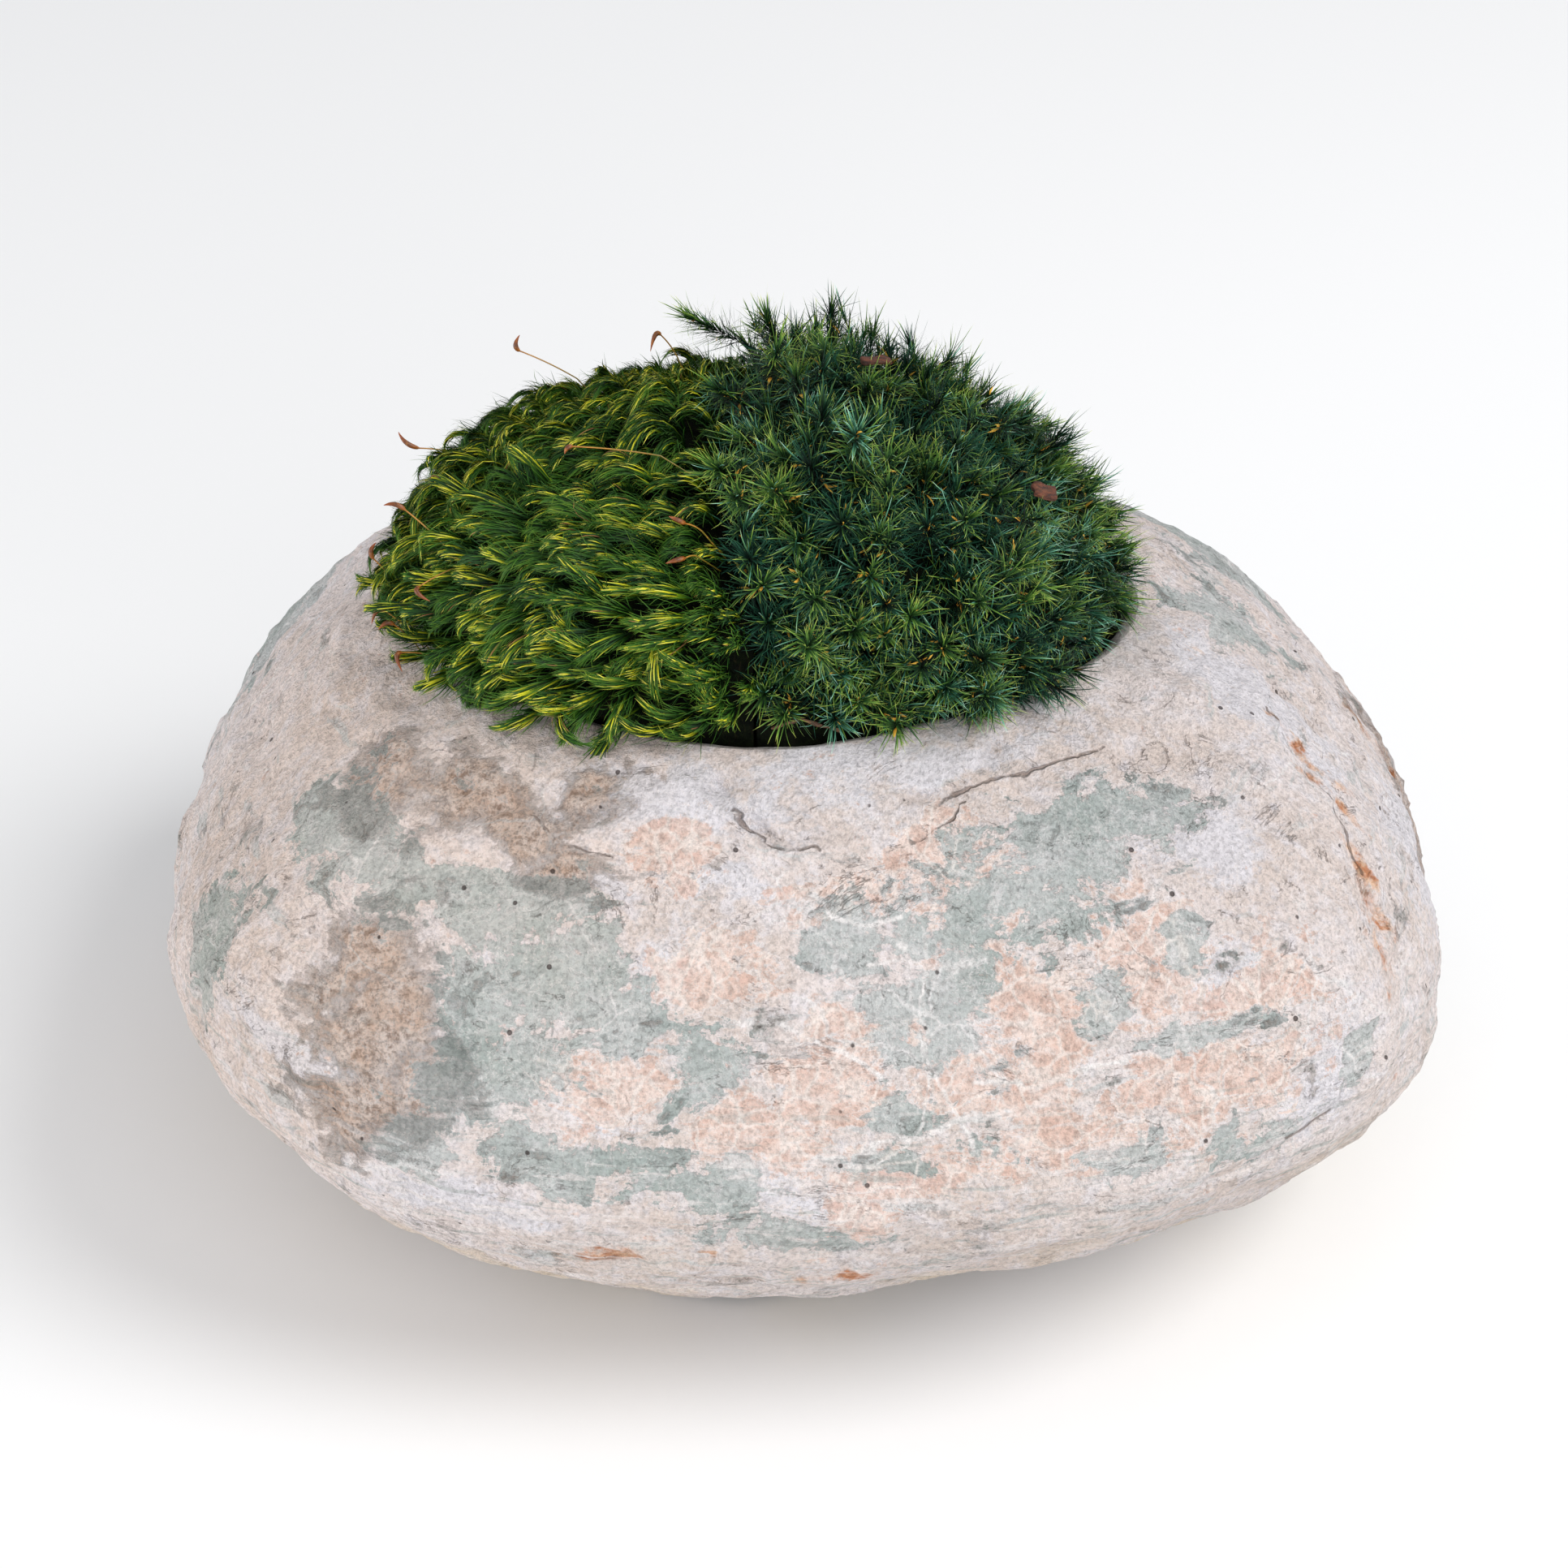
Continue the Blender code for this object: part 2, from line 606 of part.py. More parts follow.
# Each stalk's root on the mat in plan, the way from root to neck, and the way from neck to beak, in mm.
SPOROPHYTES = (
    ((-44, 32), (-11, 0, 6), (0, 1, 3)),
    ((-24, 25), (-3, -1, 5), (-2, -2, -2.5)),
    ((-66, 17), (-8, -2, 2.5), (-4, 1, 3)),
    ((-74, -10), (-7.5, 2.5, 8.5), (0.5, 1, 3)),
    ((-66, -17), (-8, 2, 7.5), (-4, 0, 1)),
    ((-74, -12), (-4.5, 1, 7), (0, -2, -3)),
    ((-72, -17), (-7, 1, 6), (-2.5, -1.5, -2)),
    ((-69, -24), (-6, -2, 2), (0, -2, -3)),
    ((-73, -19), (-4, 0, 4.5), (-3, -1, -0.5)),
    ((-65, -21), (-6, -5, -1), (2, -2, -2)),
    ((-26, -17), (-16, -2, 3), (-1.5, -1, -1)),
    ((-18, -35), (-3, -1.5, 2.5), (-3, 0, 1.5)),
    ((-19, -39), (-2, -2.5, 1), (-3.5, -1, -0.5)),
)
CAPSULE = (1.0, 1.9, 2.4, 2.3, 1.6, 0.5)  # fullness from neck to beak, over the seta's


def sporophyte(index, root, to_neck, to_beak):
    """A fruiting stalk: a thin seta, then a curved capsule with a beak."""
    x, y = np.array(root) / 1000
    base = np.array([x, y, mat_height(x, y, MAT_RISE_BROOM) + 0.0012])
    neck = base + np.array(to_neck) / 1000
    beak = neck + np.array(to_beak) / 1000
    onward = (neck - base) / np.linalg.norm(neck - base)
    control = neck + onward * 0.6 * np.linalg.norm(beak - neck)
    points = [base + (neck - base) * step / 3 for step in range(3)]
    for step in range(len(CAPSULE)):
        t = step / (len(CAPSULE) - 1)
        points.append(neck * (1 - t) ** 2 + control * 2 * t * (1 - t) + beak * t**2)
    return tube(f"sporophyte_{index}", points, SETA_RADIUS, (1.2, 1.0, 1.0, *CAPSULE), SPOROPHYTE)


# Plan position in mm, size in mm, then turn in degrees.
BARK_CHIPS = (
    ((14, 3), (6.0, 2.2, 1.0), 15),
    ((44, -21), (5.0, 3.0, 1.2), 50),
)


def bark_chip(index, spot, size, turn):
    """A flake of bark lying on the dark moss."""
    x, y = np.array(spot) / 1000
    step = 0.001
    slope_x = (mat_height(x + step, y, MAT_RISE_DARK) - mat_height(x - step, y, MAT_RISE_DARK)) / 2 / step
    slope_y = (mat_height(x, y + step, MAT_RISE_DARK) - mat_height(x, y - step, MAT_RISE_DARK)) / 2 / step
    normal = Vector((-slope_x, -slope_y, 1.0)).normalized()
    mesh = bpy.data.meshes.new(f"bark_chip_{index}")
    build = bmesh.new()
    bmesh.ops.create_cube(build, size=1.0)
    bmesh.ops.scale(build, vec=[side / 1000 for side in size], verts=build.verts)
    bmesh.ops.bevel(build, geom=build.edges[:], offset=size[2] / 4000, segments=1, affect="EDGES")
    build.to_mesh(mesh)
    build.free()
    chip = new_object(f"bark_chip_{index}", mesh, BARK, smooth_angle=0)
    chip.rotation_mode = "QUATERNION"
    chip.rotation_quaternion = normal.to_track_quat("Z", "X") @ Quaternion((0, 0, 1), math.radians(turn))
    chip.location = Vector((x, y, mat_height(x, y, MAT_RISE_DARK))) + normal * 0.0018
    return chip


def twig():
    """A bent bit of brown stem lying along the front of the lip."""
    points = []
    for step in range(9):
        t = step / 8
        x = -0.006 + 0.017 * t
        plan = np.array([[x, WELL_CENTRE[1] - MAT_Y - 0.0015]])
        z = boulder_points(azimuths_of(plan), on_top(plan))[0, 2] + 0.0016 + 0.0022 * math.sin(math.pi * t)
        points.append((*plan[0], z))
    return tube("twig", points, 0.0006, (0.6, 0.9, 1, 1, 1.1, 1, 1, 0.8, 0.5), BARK)


def carrier(name, location, pieces, parent=None):
    """An empty on a slide's axis that carries the pieces."""
    empty = bpy.data.objects.new(name, None)
    bpy.context.scene.collection.objects.link(empty)
    empty.location = location
    for piece in pieces:
        piece.parent = empty
        piece.matrix_parent_inverse = Matrix.Translation(location).inverted()
    if parent:
        empty.parent = parent
        empty.matrix_parent_inverse = Matrix.Translation(parent.location).inverted()
    return empty


def build_model():
    for old in list(bpy.data.objects):
        bpy.data.objects.remove(old)
    boulder_shell()
    ballast_core()
    base_plate()
    for index, spot in enumerate(SCREW_SPOTS, 1):
        base_screw(index, spot)
    for index, spot in enumerate(FEET, 1):
        foot(index, spot)
    drain_plug()
    drain_strainer()
    insert = carrier(
        "planting_insert",
        (*WELL_CENTRE, LINER_FLOOR),
        [liner_pot(), drainage_gravel(), growing_medium()],
    )
    broom = [moss_mat("broom_moss_mat", -1, MAT_RISE_BROOM, BROOM_MOSS)]
    broom += [sporophyte(index, *row) for index, row in enumerate(SPOROPHYTES, 1)]
    carrier("broom_moss", (*WELL_CENTRE, LIP_Z), broom, insert)
    dark = [moss_mat("dark_moss_mat", 1, MAT_RISE_DARK, DARK_MOSS)]
    dark += [bark_chip(index, *row) for index, row in enumerate(BARK_CHIPS, 1)]
    dark.append(twig())
    carrier("dark_moss", (*WELL_CENTRE, LIP_Z), dark, insert)


build_model()
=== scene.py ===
"""The looks of the planted boulder ornament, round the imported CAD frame."""

import itertools
import math

import bmesh
import bpy
import numpy as np
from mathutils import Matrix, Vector


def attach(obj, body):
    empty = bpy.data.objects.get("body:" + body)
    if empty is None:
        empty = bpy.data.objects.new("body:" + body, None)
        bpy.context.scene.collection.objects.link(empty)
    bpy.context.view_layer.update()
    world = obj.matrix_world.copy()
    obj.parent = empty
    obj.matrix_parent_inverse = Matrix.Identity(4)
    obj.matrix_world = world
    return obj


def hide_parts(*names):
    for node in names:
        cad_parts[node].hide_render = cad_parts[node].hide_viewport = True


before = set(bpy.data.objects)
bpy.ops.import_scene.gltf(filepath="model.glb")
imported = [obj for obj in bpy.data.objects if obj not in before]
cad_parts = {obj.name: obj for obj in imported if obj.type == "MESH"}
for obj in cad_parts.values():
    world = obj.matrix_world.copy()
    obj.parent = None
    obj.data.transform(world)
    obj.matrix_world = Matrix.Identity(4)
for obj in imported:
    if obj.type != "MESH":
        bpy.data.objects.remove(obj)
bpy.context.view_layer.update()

MM = 0.001

# --- The boulder's form, as in the CAD model: a soft ellipsoid cut by planes, with broad lumps ---

CENTRE = np.array([-0.0032, 0.0033, 0.058])
RADII = (0.156, 0.122, 0.076, 0.062)  # x, y, up, down
SOFTNESS = 12.0
PLANES = (
    (-90, 36, 0.100), (-90, -40, 0.101), (180, 42, 0.101), (180, -5, 0.131), (210, -35, 0.109),
    (-62, -48, 0.098), (-32, -25, 0.155), (10, 42, 0.108), (-5, 2, 0.136), (90, 30, 0.102),
    (90, -10, 0.112), (0, 90, 0.071), (0, -40, 0.134), (-120, -35, 0.130),
)
LUMPS = (
    (-62, -44, 14, -0.0105), (-28, -34, 14, 0.007), (178, 20, 16, 0.002), (-97, -46, 18, 0.007),
    (160, -40, 18, 0.003), (6, 18, 14, 0.002), (-90, 42, 16, -0.002), (70, 40, 20, -0.004),
    (150, 50, 20, -0.003),
)
FOOT_HEIGHT = 0.003
WALL = 0.010
STONE_REACH, RELIEF_REACH = 115, 105  # mm from CENTRE, where the lines' and the ledges' widths hold
WELL = np.array([-0.004, 0.0028])
WELL_X, WELL_Y, WELL_TAPER = 0.066, 0.0516, 0.84
WELL_FLOOR, WELL_WALL, WELL_CORNER = 0.036, 0.006, 0.003
LIP = 0.004
SPOUT_RADIUS, DRAIN_RADIUS = 0.011, 0.006
PLATE_LEDGE = 0.0084
MOSS_X, MOSS_Y = 0.072, 0.0566


def aim(azimuth, elevation):
    """The unit vector that points that way, in degrees."""
    a, e = math.radians(azimuth), math.radians(elevation)
    return np.array([math.cos(a) * math.cos(e), math.sin(a) * math.cos(e), math.sin(e)])


def boulder_radius(directions):
    """How far the boulder's smooth surface is from CENTRE along each unit vector."""
    x, y, z = directions[..., 0], directions[..., 1], directions[..., 2]
    radius_z = np.where(z > 0, RADII[2], RADII[3])
    total = np.sqrt((x / RADII[0]) ** 2 + (y / RADII[1]) ** 2 + (z / radius_z) ** 2) ** SOFTNESS
    for azimuth, elevation, distance in PLANES:
        total = total + np.maximum(0.0, directions @ aim(azimuth, elevation) / distance) ** SOFTNESS
    radius = total ** (-1.0 / SOFTNESS)
    for azimuth, elevation, width, height in LUMPS:
        angle = np.degrees(np.arccos(np.clip(directions @ aim(azimuth, elevation), -1.0, 1.0)))
        radius = radius + height * np.exp(-((angle / width) ** 2))
    return radius


def boulder_points(azimuths, polars, inset=0.0):
    """Points on the boulder's smooth surface, moved in by inset. The angles are in radians."""
    out = np.sin(polars)
    parts = out * np.cos(azimuths), out * np.sin(azimuths), np.cos(polars) + 0 * azimuths
    directions = np.stack(parts, axis=-1)
    return CENTRE + (boulder_radius(directions) - inset)[..., None] * directions


def polar_where(azimuths, low, high, goes_on):
    """The polar angle, found by halving, at which goes_on(points) turns from true to false."""
    low, high = np.full(len(azimuths), low), np.full(len(azimuths), high)
    for _ in range(30):
        middle = (low + high) / 2
        on = goes_on(boulder_points(azimuths, middle))
        low, high = np.where(on, middle, low), np.where(on, high, middle)
    return low


def ellipse(size_x, size_y, turns):
    """Plan points round the well's centre."""
    return WELL + np.stack([size_x * np.cos(turns), size_y * np.sin(turns)], axis=-1)


def azimuths_of(plan):
    """Azimuths of plan points, seen from the boulder's centre."""
    return np.arctan2(plan[..., 1] - CENTRE[1], plan[..., 0] - CENTRE[0])


def on_top(plan):
    """Polar angles at which the boulder's top is over those plan points."""
    reach = np.hypot(plan[:, 0] - CENTRE[0], plan[:, 1] - CENTRE[1])
    return polar_where(
        azimuths_of(plan), 0.0, 1.55, lambda p: np.hypot(p[:, 0] - CENTRE[0], p[:, 1] - CENTRE[1]) < reach
    )


def top_height(plan):
    """Height of the boulder's smooth top over plan points."""
    return boulder_points(azimuths_of(plan), on_top(plan))[:, 2]


# --- Noise, and meshes from arrays ---


def lattice(cells, seed):
    """A repeatable value from -1 to 1 for each whole-number cell."""
    mixed = cells @ np.array([73856093, 19349663, 83492791]) + seed * 1013904223
    mixed = ((mixed ^ (mixed >> 13)) * 1274126177) & 0x7FFFFFFF
    mixed = mixed ^ (mixed >> 15)
    return (mixed % 65536) / 32768.0 - 1.0


def noise(points, size, seed=0, octaves=4, gain=0.5):
    """Smooth noise, about -1 to 1, with features of that size."""
    total, weight = 0.0, 1.0
    for octave in range(octaves):
        place = points / size + 31.7 * (octave + 1)
        cell = np.floor(place).astype(np.int64)
        part = place - cell
        part = part * part * (3 - 2 * part)
        for corner in itertools.product((0, 1), repeat=3):
            share = np.prod(np.where(corner, part, 1 - part), axis=-1)
            total = total + weight * share * lattice(cell + np.array(corner), seed + octave)
        weight, size = weight * gain, size / 2
    return total


def noise_vectors(points, size, *seeds):
    """A vector of three noises for each point."""
    return np.stack([noise(points, size, seed, 2) for seed in seeds], axis=-1)


def curve(t, start, control, end):
    """Points on a curve from start past control to end."""
    return start * (1 - t) ** 2 + control * 2 * t * (1 - t) + end * t**2


def smooth_step(value, low, high):
    """0 below low, 1 above high, and an even S between."""
    share = np.clip((value - low) / (high - low), 0.0, 1.0)
    return share * share * (3 - 2 * share)


def unit(vectors):
    """The vectors at length 1."""
    return vectors / np.maximum(np.linalg.norm(vectors, axis=-1, keepdims=True), 1e-12)


def piece(name, finish, body, slot, points, polygons, uv=None, values=None, replaces=()):
    """An object from arrays: polygons lists face arrays, uv is per point or corner."""
    mesh = bpy.data.meshes.new(name)
    mesh.vertices.add(len(points))
    mesh.vertices.foreach_set("co", np.ascontiguousarray(points, np.float32).ravel())
    corners = np.concatenate([faces.ravel() for faces in polygons])
    sizes = np.concatenate([np.full(len(faces), faces.shape[1]) for faces in polygons])
    mesh.loops.add(len(corners))
    mesh.loops.foreach_set("vertex_index", corners.astype(np.int32))
    mesh.polygons.add(len(sizes))
    mesh.polygons.foreach_set("loop_start", np.concatenate([[0], np.cumsum(sizes)[:-1]]).astype(np.int32))
    mesh.polygons.foreach_set("use_smooth", np.ones(len(sizes), bool))
    if uv is not None:
        layer = mesh.uv_layers.new(name="OFBake")
        at_corners = uv if len(uv) == len(corners) else uv[corners]
        layer.data.foreach_set("uv", at_corners.astype(np.float32).ravel())
    for key, data in (values or {}).items():
        mesh.attributes.new(key, "FLOAT", "POINT").data.foreach_set("value", data.astype(np.float32))
    mesh.update(calc_edges=True)
    mesh.validate()
    mesh.materials.append(finish)
    made = bpy.data.objects.new(name, mesh)
    bpy.context.scene.collection.objects.link(made)
    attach(made, body)
    if replaces:
        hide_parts(*replaces)


def arrays_of(build):
    """Points, normals and triangles of a bmesh, which it frees."""
    bmesh.ops.triangulate(build, faces=build.faces)
    build.normal_update()
    build.verts.index_update()
    points = np.array([v.co for v in build.verts])
    normals = np.array([v.normal for v in build.verts])
    triangles = np.array([[v.index for v in face.verts] for face in build.faces])
    build.free()
    return points, normals, triangles


def grid_faces(rows, columns, close_rows=False):
    """Quads over a grid of points whose columns close in a loop."""
    count = rows if close_rows else rows - 1
    row, column = np.meshgrid(np.arange(count), np.arange(columns), indexing="ij")
    start, below = row * columns, (row + 1) % rows * columns
    after = (column + 1) % columns
    return np.stack([start + column, below + column, below + after, start + after], axis=-1).reshape(-1, 4)


# --- Materials ---


class Graph:
    """Short ways to build one material's nodes. A value is a number, a colour or another node's output."""

    def __init__(self, name):
        self.material = bpy.data.materials.new(name)
        self.material.use_nodes = True
        self.nodes = self.material.node_tree.nodes
        self.links = self.material.node_tree.links
        self.shader = self.nodes["Principled BSDF"]
        self.colour = (0.0, 0.0, 0.0)

    def set(self, socket, value):
        if isinstance(value, bpy.types.NodeSocket):
            self.links.new(value, socket)
        elif isinstance(value, tuple) and len(value) == 3 and socket.type == "RGBA":
            socket.default_value = (*value, 1.0)
        else:
            socket.default_value = value

    def add(self, kind, inputs=None, **settings):
        node = self.nodes.new(kind)
        for key, value in settings.items():
            setattr(node, key, value)
        for key, value in (inputs or {}).items():
            self.set(node.inputs[key], value)
        return node

    def where(self, stretch=None):
        """The place on the object, in metres, stretched along an axis if asked."""
        place = self.add("ShaderNodeTexCoord").outputs["Object"]
        return self.vector("MULTIPLY", place, stretch) if stretch else place

    def noise(self, size, detail=4.0, roughness=0.55, warp=0.0, vector=None):
        inputs = {"Scale": 1.0 / size, "Detail": detail, "Roughness": roughness, "Distortion": warp}
        inputs["Vector"] = vector or self.where()
        return self.add("ShaderNodeTexNoise", inputs).outputs["Fac"]

    def cells(self, size, feature="F1", vector=None, output="Distance"):
        inputs = {"Scale": 1.0 / size, "Vector": vector or self.where()}
        return self.add("ShaderNodeTexVoronoi", inputs, feature=feature).outputs[output]

    def attribute(self, name):
        return self.add("ShaderNodeAttribute", attribute_name=name).outputs["Fac"]

    def uv(self):
        return self.add("ShaderNodeUVMap", uv_map="OFBake").outputs[0]

    def split(self, vector):
        return self.add("ShaderNodeSeparateXYZ", {0: vector}).outputs

    def math(self, operation, a, b=0.0, clamp=False):
        return self.add("ShaderNodeMath", {0: a, 1: b}, operation=operation, use_clamp=clamp).outputs[0]

    def plus(self, a, b, clamp=False):
        return self.math("ADD", a, b, clamp)

    def minus(self, a, b):
        return self.math("SUBTRACT", a, b)

    def times(self, a, b):
        return self.math("MULTIPLY", a, b)

    def from_level(self, value, level):
        """How far a value is from a level, whichever side it is on."""
        return self.math("ABSOLUTE", self.minus(value, level))

    def vector(self, operation, a, b=(0.0, 0.0, 0.0), scale=1.0):
        node = self.add("ShaderNodeVectorMath", {0: a, 1: b, 3: scale}, operation=operation)
        return node.outputs["Value" if operation in ("DOT_PRODUCT", "DISTANCE") else "Vector"]

    def beside(self, way, path):
        """How far a direction is from a path through other directions, in radians."""
        nearest = 1.0
        for start, end in zip(path, path[1:]):
            span = end - start
            away = self.vector("SUBTRACT", way, tuple(start))
            along = self.vector("DOT_PRODUCT", away, tuple(span / (span @ span)))
            foot = self.vector("SCALE", tuple(span), scale=self.plus(along, 0.0, clamp=True))
            nearest = self.math("MINIMUM", nearest, self.vector("DISTANCE", away, foot))
        return nearest

    def lines(self, way, uneven, rows):
        """1 on the rows' paths, each with its width in mm, and 0 beside them. uneven makes them patchy."""
        found = 0.0
        for width, *places in rows:
            gap = self.minus(self.beside(way, [aim(*place) for place in places]), uneven)
            reach = width / STONE_REACH
            found = self.math("MAXIMUM", found, self.scaled(gap, 0.3 * reach, 1.3 * reach, 1, 0))
        return found

    def scaled(self, value, low, high, to_low=0.0, to_high=1.0):
        inputs = {0: value, 1: low, 2: high, 3: to_low, 4: to_high}
        return self.add("ShaderNodeMapRange", inputs, interpolation_type="SMOOTHSTEP").outputs[0]

    def mix(self, share, a, b, blend="MIX"):
        node = self.add("ShaderNodeMix", data_type="RGBA", blend_type=blend, clamp_factor=True)
        for index, value in ((0, share), (6, a), (7, b)):
            self.set(node.inputs[index], value)
        return node.outputs[2]

    def shades(self, value, low, high, a, b):
        """One colour where a value is below low, another where it is above high."""
        return self.mix(self.scaled(value, low, high), a, b)

    def paint(self, share, tint, blend="MIX"):
        """Lays a tint over the colour so far."""
        self.colour = self.mix(share, self.colour, tint, blend)

    def ramp(self, value, *stops):
        node = self.add("ShaderNodeValToRGB", {"Fac": value})
        elements = node.color_ramp.elements
        while len(elements) < len(stops):
            elements.new(0.5)
        for element, (place, colour) in zip(elements, stops):
            element.position = place
            element.color = (*colour, 1.0)
        return node.outputs["Color"]

    def finish(self, roughness, bumps=0.0, depth=None, **constants):
        """The material: the colour so far, roughness, and bumps of that depth in metres."""
        self.set(self.shader.inputs["Base Color"], self.colour)
        self.set(self.shader.inputs["Roughness"], roughness)
        if depth:
            bump = self.add("ShaderNodeBump", {"Height": bumps, "Distance": depth, "Strength": 1.0})
            self.set(self.shader.inputs["Normal"], bump.outputs[0])
        for key, value in constants.items():
            self.shader.inputs[key.replace("_", " ")].default_value = value
        return self.material


# Patches on the stone: azimuth and elevation from CENTRE, then half-width and half-height, in degrees.
PATCHES = {
    "green": (
        (-53, 31, 9, 5), (-65, 28, 8, 5), (-72, 23, 6, 6), (-77, 17, 5, 4), (-45, 32, 5, 3),
        (-83, 26, 5, 4), (-148, 26, 5, 4), (-141, 25, 5, 4), (-134, 24, 6, 4), (-126, 23, 6, 4),
        (-119, 25, 6, 4), (-112, 21, 7, 5), (-106, 19, 5, 4), (-119, 17, 5, 4), (-121, 12, 4, 5),
        (-115, 11, 5, 4), (-98, 14, 4, 4), (-151, 13, 5, 4), (-150, 8, 4, 3), (-59, 16, 2, 3),
        (-50, 12, 4, 1.5), (-78, 10, 4, 2), (-123, 4, 4, 2), (-108, 5, 8, 2), (-98, 2, 7, 2),
        (-88, -3, 9, 2), (-77, 4, 6, 2), (-61, 2, 4, 2), (-49, 2, 5, 2), (-49, 20, 2, 2),
        (-37, 5, 2, 3), (3, 34, 6, 6), (32, 22, 12, 8), (75, 12, 14, 7), (112, 30, 12, 7),
        (150, 8, 12, 8), (20, -12, 14, 5), (100, -20, 12, 6),
    ),
    "brown": (
        (-134, 18, 4, 4), (-129, 14, 5, 4), (-124, 10, 3, 4), (-129, 7, 4, 4), (-145, 30, 5, 3),
        (-134, 31, 4, 3), (-130, 35, 5, 3), (-123, 34, 4, 3), (-118, 31, 3, 3), (-120, 40, 4, 3),
        (60, 30, 12, 8), (130, -5, 14, 8), (5, 5, 8, 6),
    ),
    "peach": (
        (-105, 34, 5, 4), (-81, 31, 7, 3), (-70, 34, 7, 3), (-64, 17, 5, 5), (-69, 12, 5, 4),
        (-98, 23, 5, 3), (-86, 13, 6, 5), (-108, 12, 5, 3), (-54, 20, 6, 5), (-80, 2, 6, 3),
        (-52, 8, 9, 3), (-64, 5, 8, 3), (-93, 7, 6, 3), (-44, 15, 4, 3), (50, 8, 14, 8), (95, 0, 12, 7),
        (170, -8, 14, 8),
    ),
    "white": (
        (-107, 41, 12, 4), (-97, 31, 7, 2), (-103, 23, 4, 3), (-112, 30, 5, 2), (-65, 43, 15, 3),
        (-78, 46, 12, 3), (-117, 21, 4, 2), (-138, 10, 7, 2), (-39, 28, 5, 4), (-47, 17, 4, 3),
        (-108, 9, 6, 1), (-86, 1, 11, 2), (-119, 0, 8, 2), (-41, 5, 5, 5), (-158, 45, 14, 4),
        (-14, 30, 7, 9), (-12, 10, 7, 8), (85, 38, 16, 6), (130, 15, 9, 6),
    ),
    "rust": (
        (-105, -6, 4, 1.2), (-97, -6, 1.2, 0.6), (-18, 25, 1.2, 4), (-22, 21, 1, 3), (-27, 17, 1, 2.5),
        (-30, 13, 2, 3.5), (-32, 9, 1, 1.2), (4, 9, 2, 7), (-45, -20, 14, 1.2), (-84, -9, 8, 1),
        (70, -8, 7, 2), (140, 20, 2, 5),
    ),
}


def patch_field(directions, rows):
    """1 in the middle of a patch, falling off to 0 outside it. Noise bends the outlines."""
    drift = 3.0 * noise(directions, 0.16, 41, 3), 2.4 * noise(directions, 0.13, 47, 3)
    azimuth = np.degrees(np.arctan2(directions[:, 1], directions[:, 0])) + drift[0]
    elevation = np.degrees(np.arcsin(np.clip(directions[:, 2], -1, 1))) + drift[1]
    field = np.zeros(len(directions))
    for a, e, width, height in rows:
        across = ((azimuth - a + 180) % 360 - 180) * math.cos(math.radians(e)) / width
        field = np.maximum(field, np.exp(-0.75 * (across**2 + ((elevation - e) / height) ** 2)))
    return field


# Cracks and ridges: width and depth in mm, then places on the way, as azimuth and elevation in degrees.
STROKES = (
    (1.3, -1.1, ((-70, 40), (-64, 39.5), (-59, 41), (-54, 42.5))),
    (1.6, -0.8, ((-101, 43), (-96, 39), (-90, 37), (-84, 38))),
    (2.0, 0.7, ((-99, 40), (-93, 36), (-86, 35.5), (-78, 37))),
    (1.8, -0.3, ((-17, 33), (-17, 27), (-21, 22), (-27, 17), (-31, 11))),
    (6.0, 0.9, ((-24, 36), (-25, 28), (-30, 21), (-35, 14), (-38, 5))),
    (1.2, -0.8, ((-52, -1), (-46, 0), (-41, 2), (-38, 5))),
    (1.1, -0.6, ((-79, 4), (-75, 6), (-72, 5))),
    (1.4, -0.8, ((-112, 39), (-118, 36), (-124, 37), (-131, 33))),
    (1.5, -0.7, ((-141, 26), (-146, 19), (-150, 10), (-151, 2))),
    (1.6, -0.9, ((40, 30), (52, 24), (60, 12), (74, 6))),
    (1.6, -0.8, ((110, 34), (118, 22), (131, 16), (140, 2))),
)


# Fine dark cracks and pale veins: width in mm, then places on the way, as azimuth and elevation in degrees.
CRACKS = (
    (0.55, (-67, 39.5), (-60.5, 40.2), (-54, 39.1), (-46, 38.8), (-41, 38.4)),
    (0.5, (-98.7, 40.9), (-95.5, 39.1), (-91.5, 37.3), (-85, 36.6)),
    (0.4, (-74, 35.1), (-65.6, 37.3), (-63, 38.4)),
    (0.6, (-46, 0.9), (-41, 1.6)),
    (0.4, (-16, 29), (-23.4, 21.8), (-27.4, 16.4)),
    (0.35, (-125, 33.3), (-118.6, 31.9), (-113.5, 32.3)),
    (0.5, (40, 30), (52, 24), (60, 12), (74, 6)),
    (0.5, (110, 34), (118, 22), (131, 16), (140, 2)),
)
VEINS = (
    (0.7, (-77, 25), (-76, 15), (-75, 12.4), (-72, 5.6)),
    (0.6, (-74, 26), (-75.7, 18), (-75.7, 13.5), (-79, 6.3), (-81.4, 4.5)),
    (0.9, (-88, 5.8), (-80.7, 7), (-72.4, 8.5), (-62.7, 9.9)),
    (0.8, (-71, 11.7), (-65, 10.6), (-57, 11.4)),
    (0.7, (-80, 23.6), (-75, 22.9), (-68, 22.5)),
    (0.7, (-88, 30.8), (-83.6, 28.3), (-76, 27.6)),
    (0.8, (-96, 19.3), (-89.4, 17.5), (-84, 16.1), (-81, 13.2)),
    (0.8, (100, 10), (108, 14), (121, 12)),
    (0.8, (60, -4), (66, 4), (79, 6)),
)


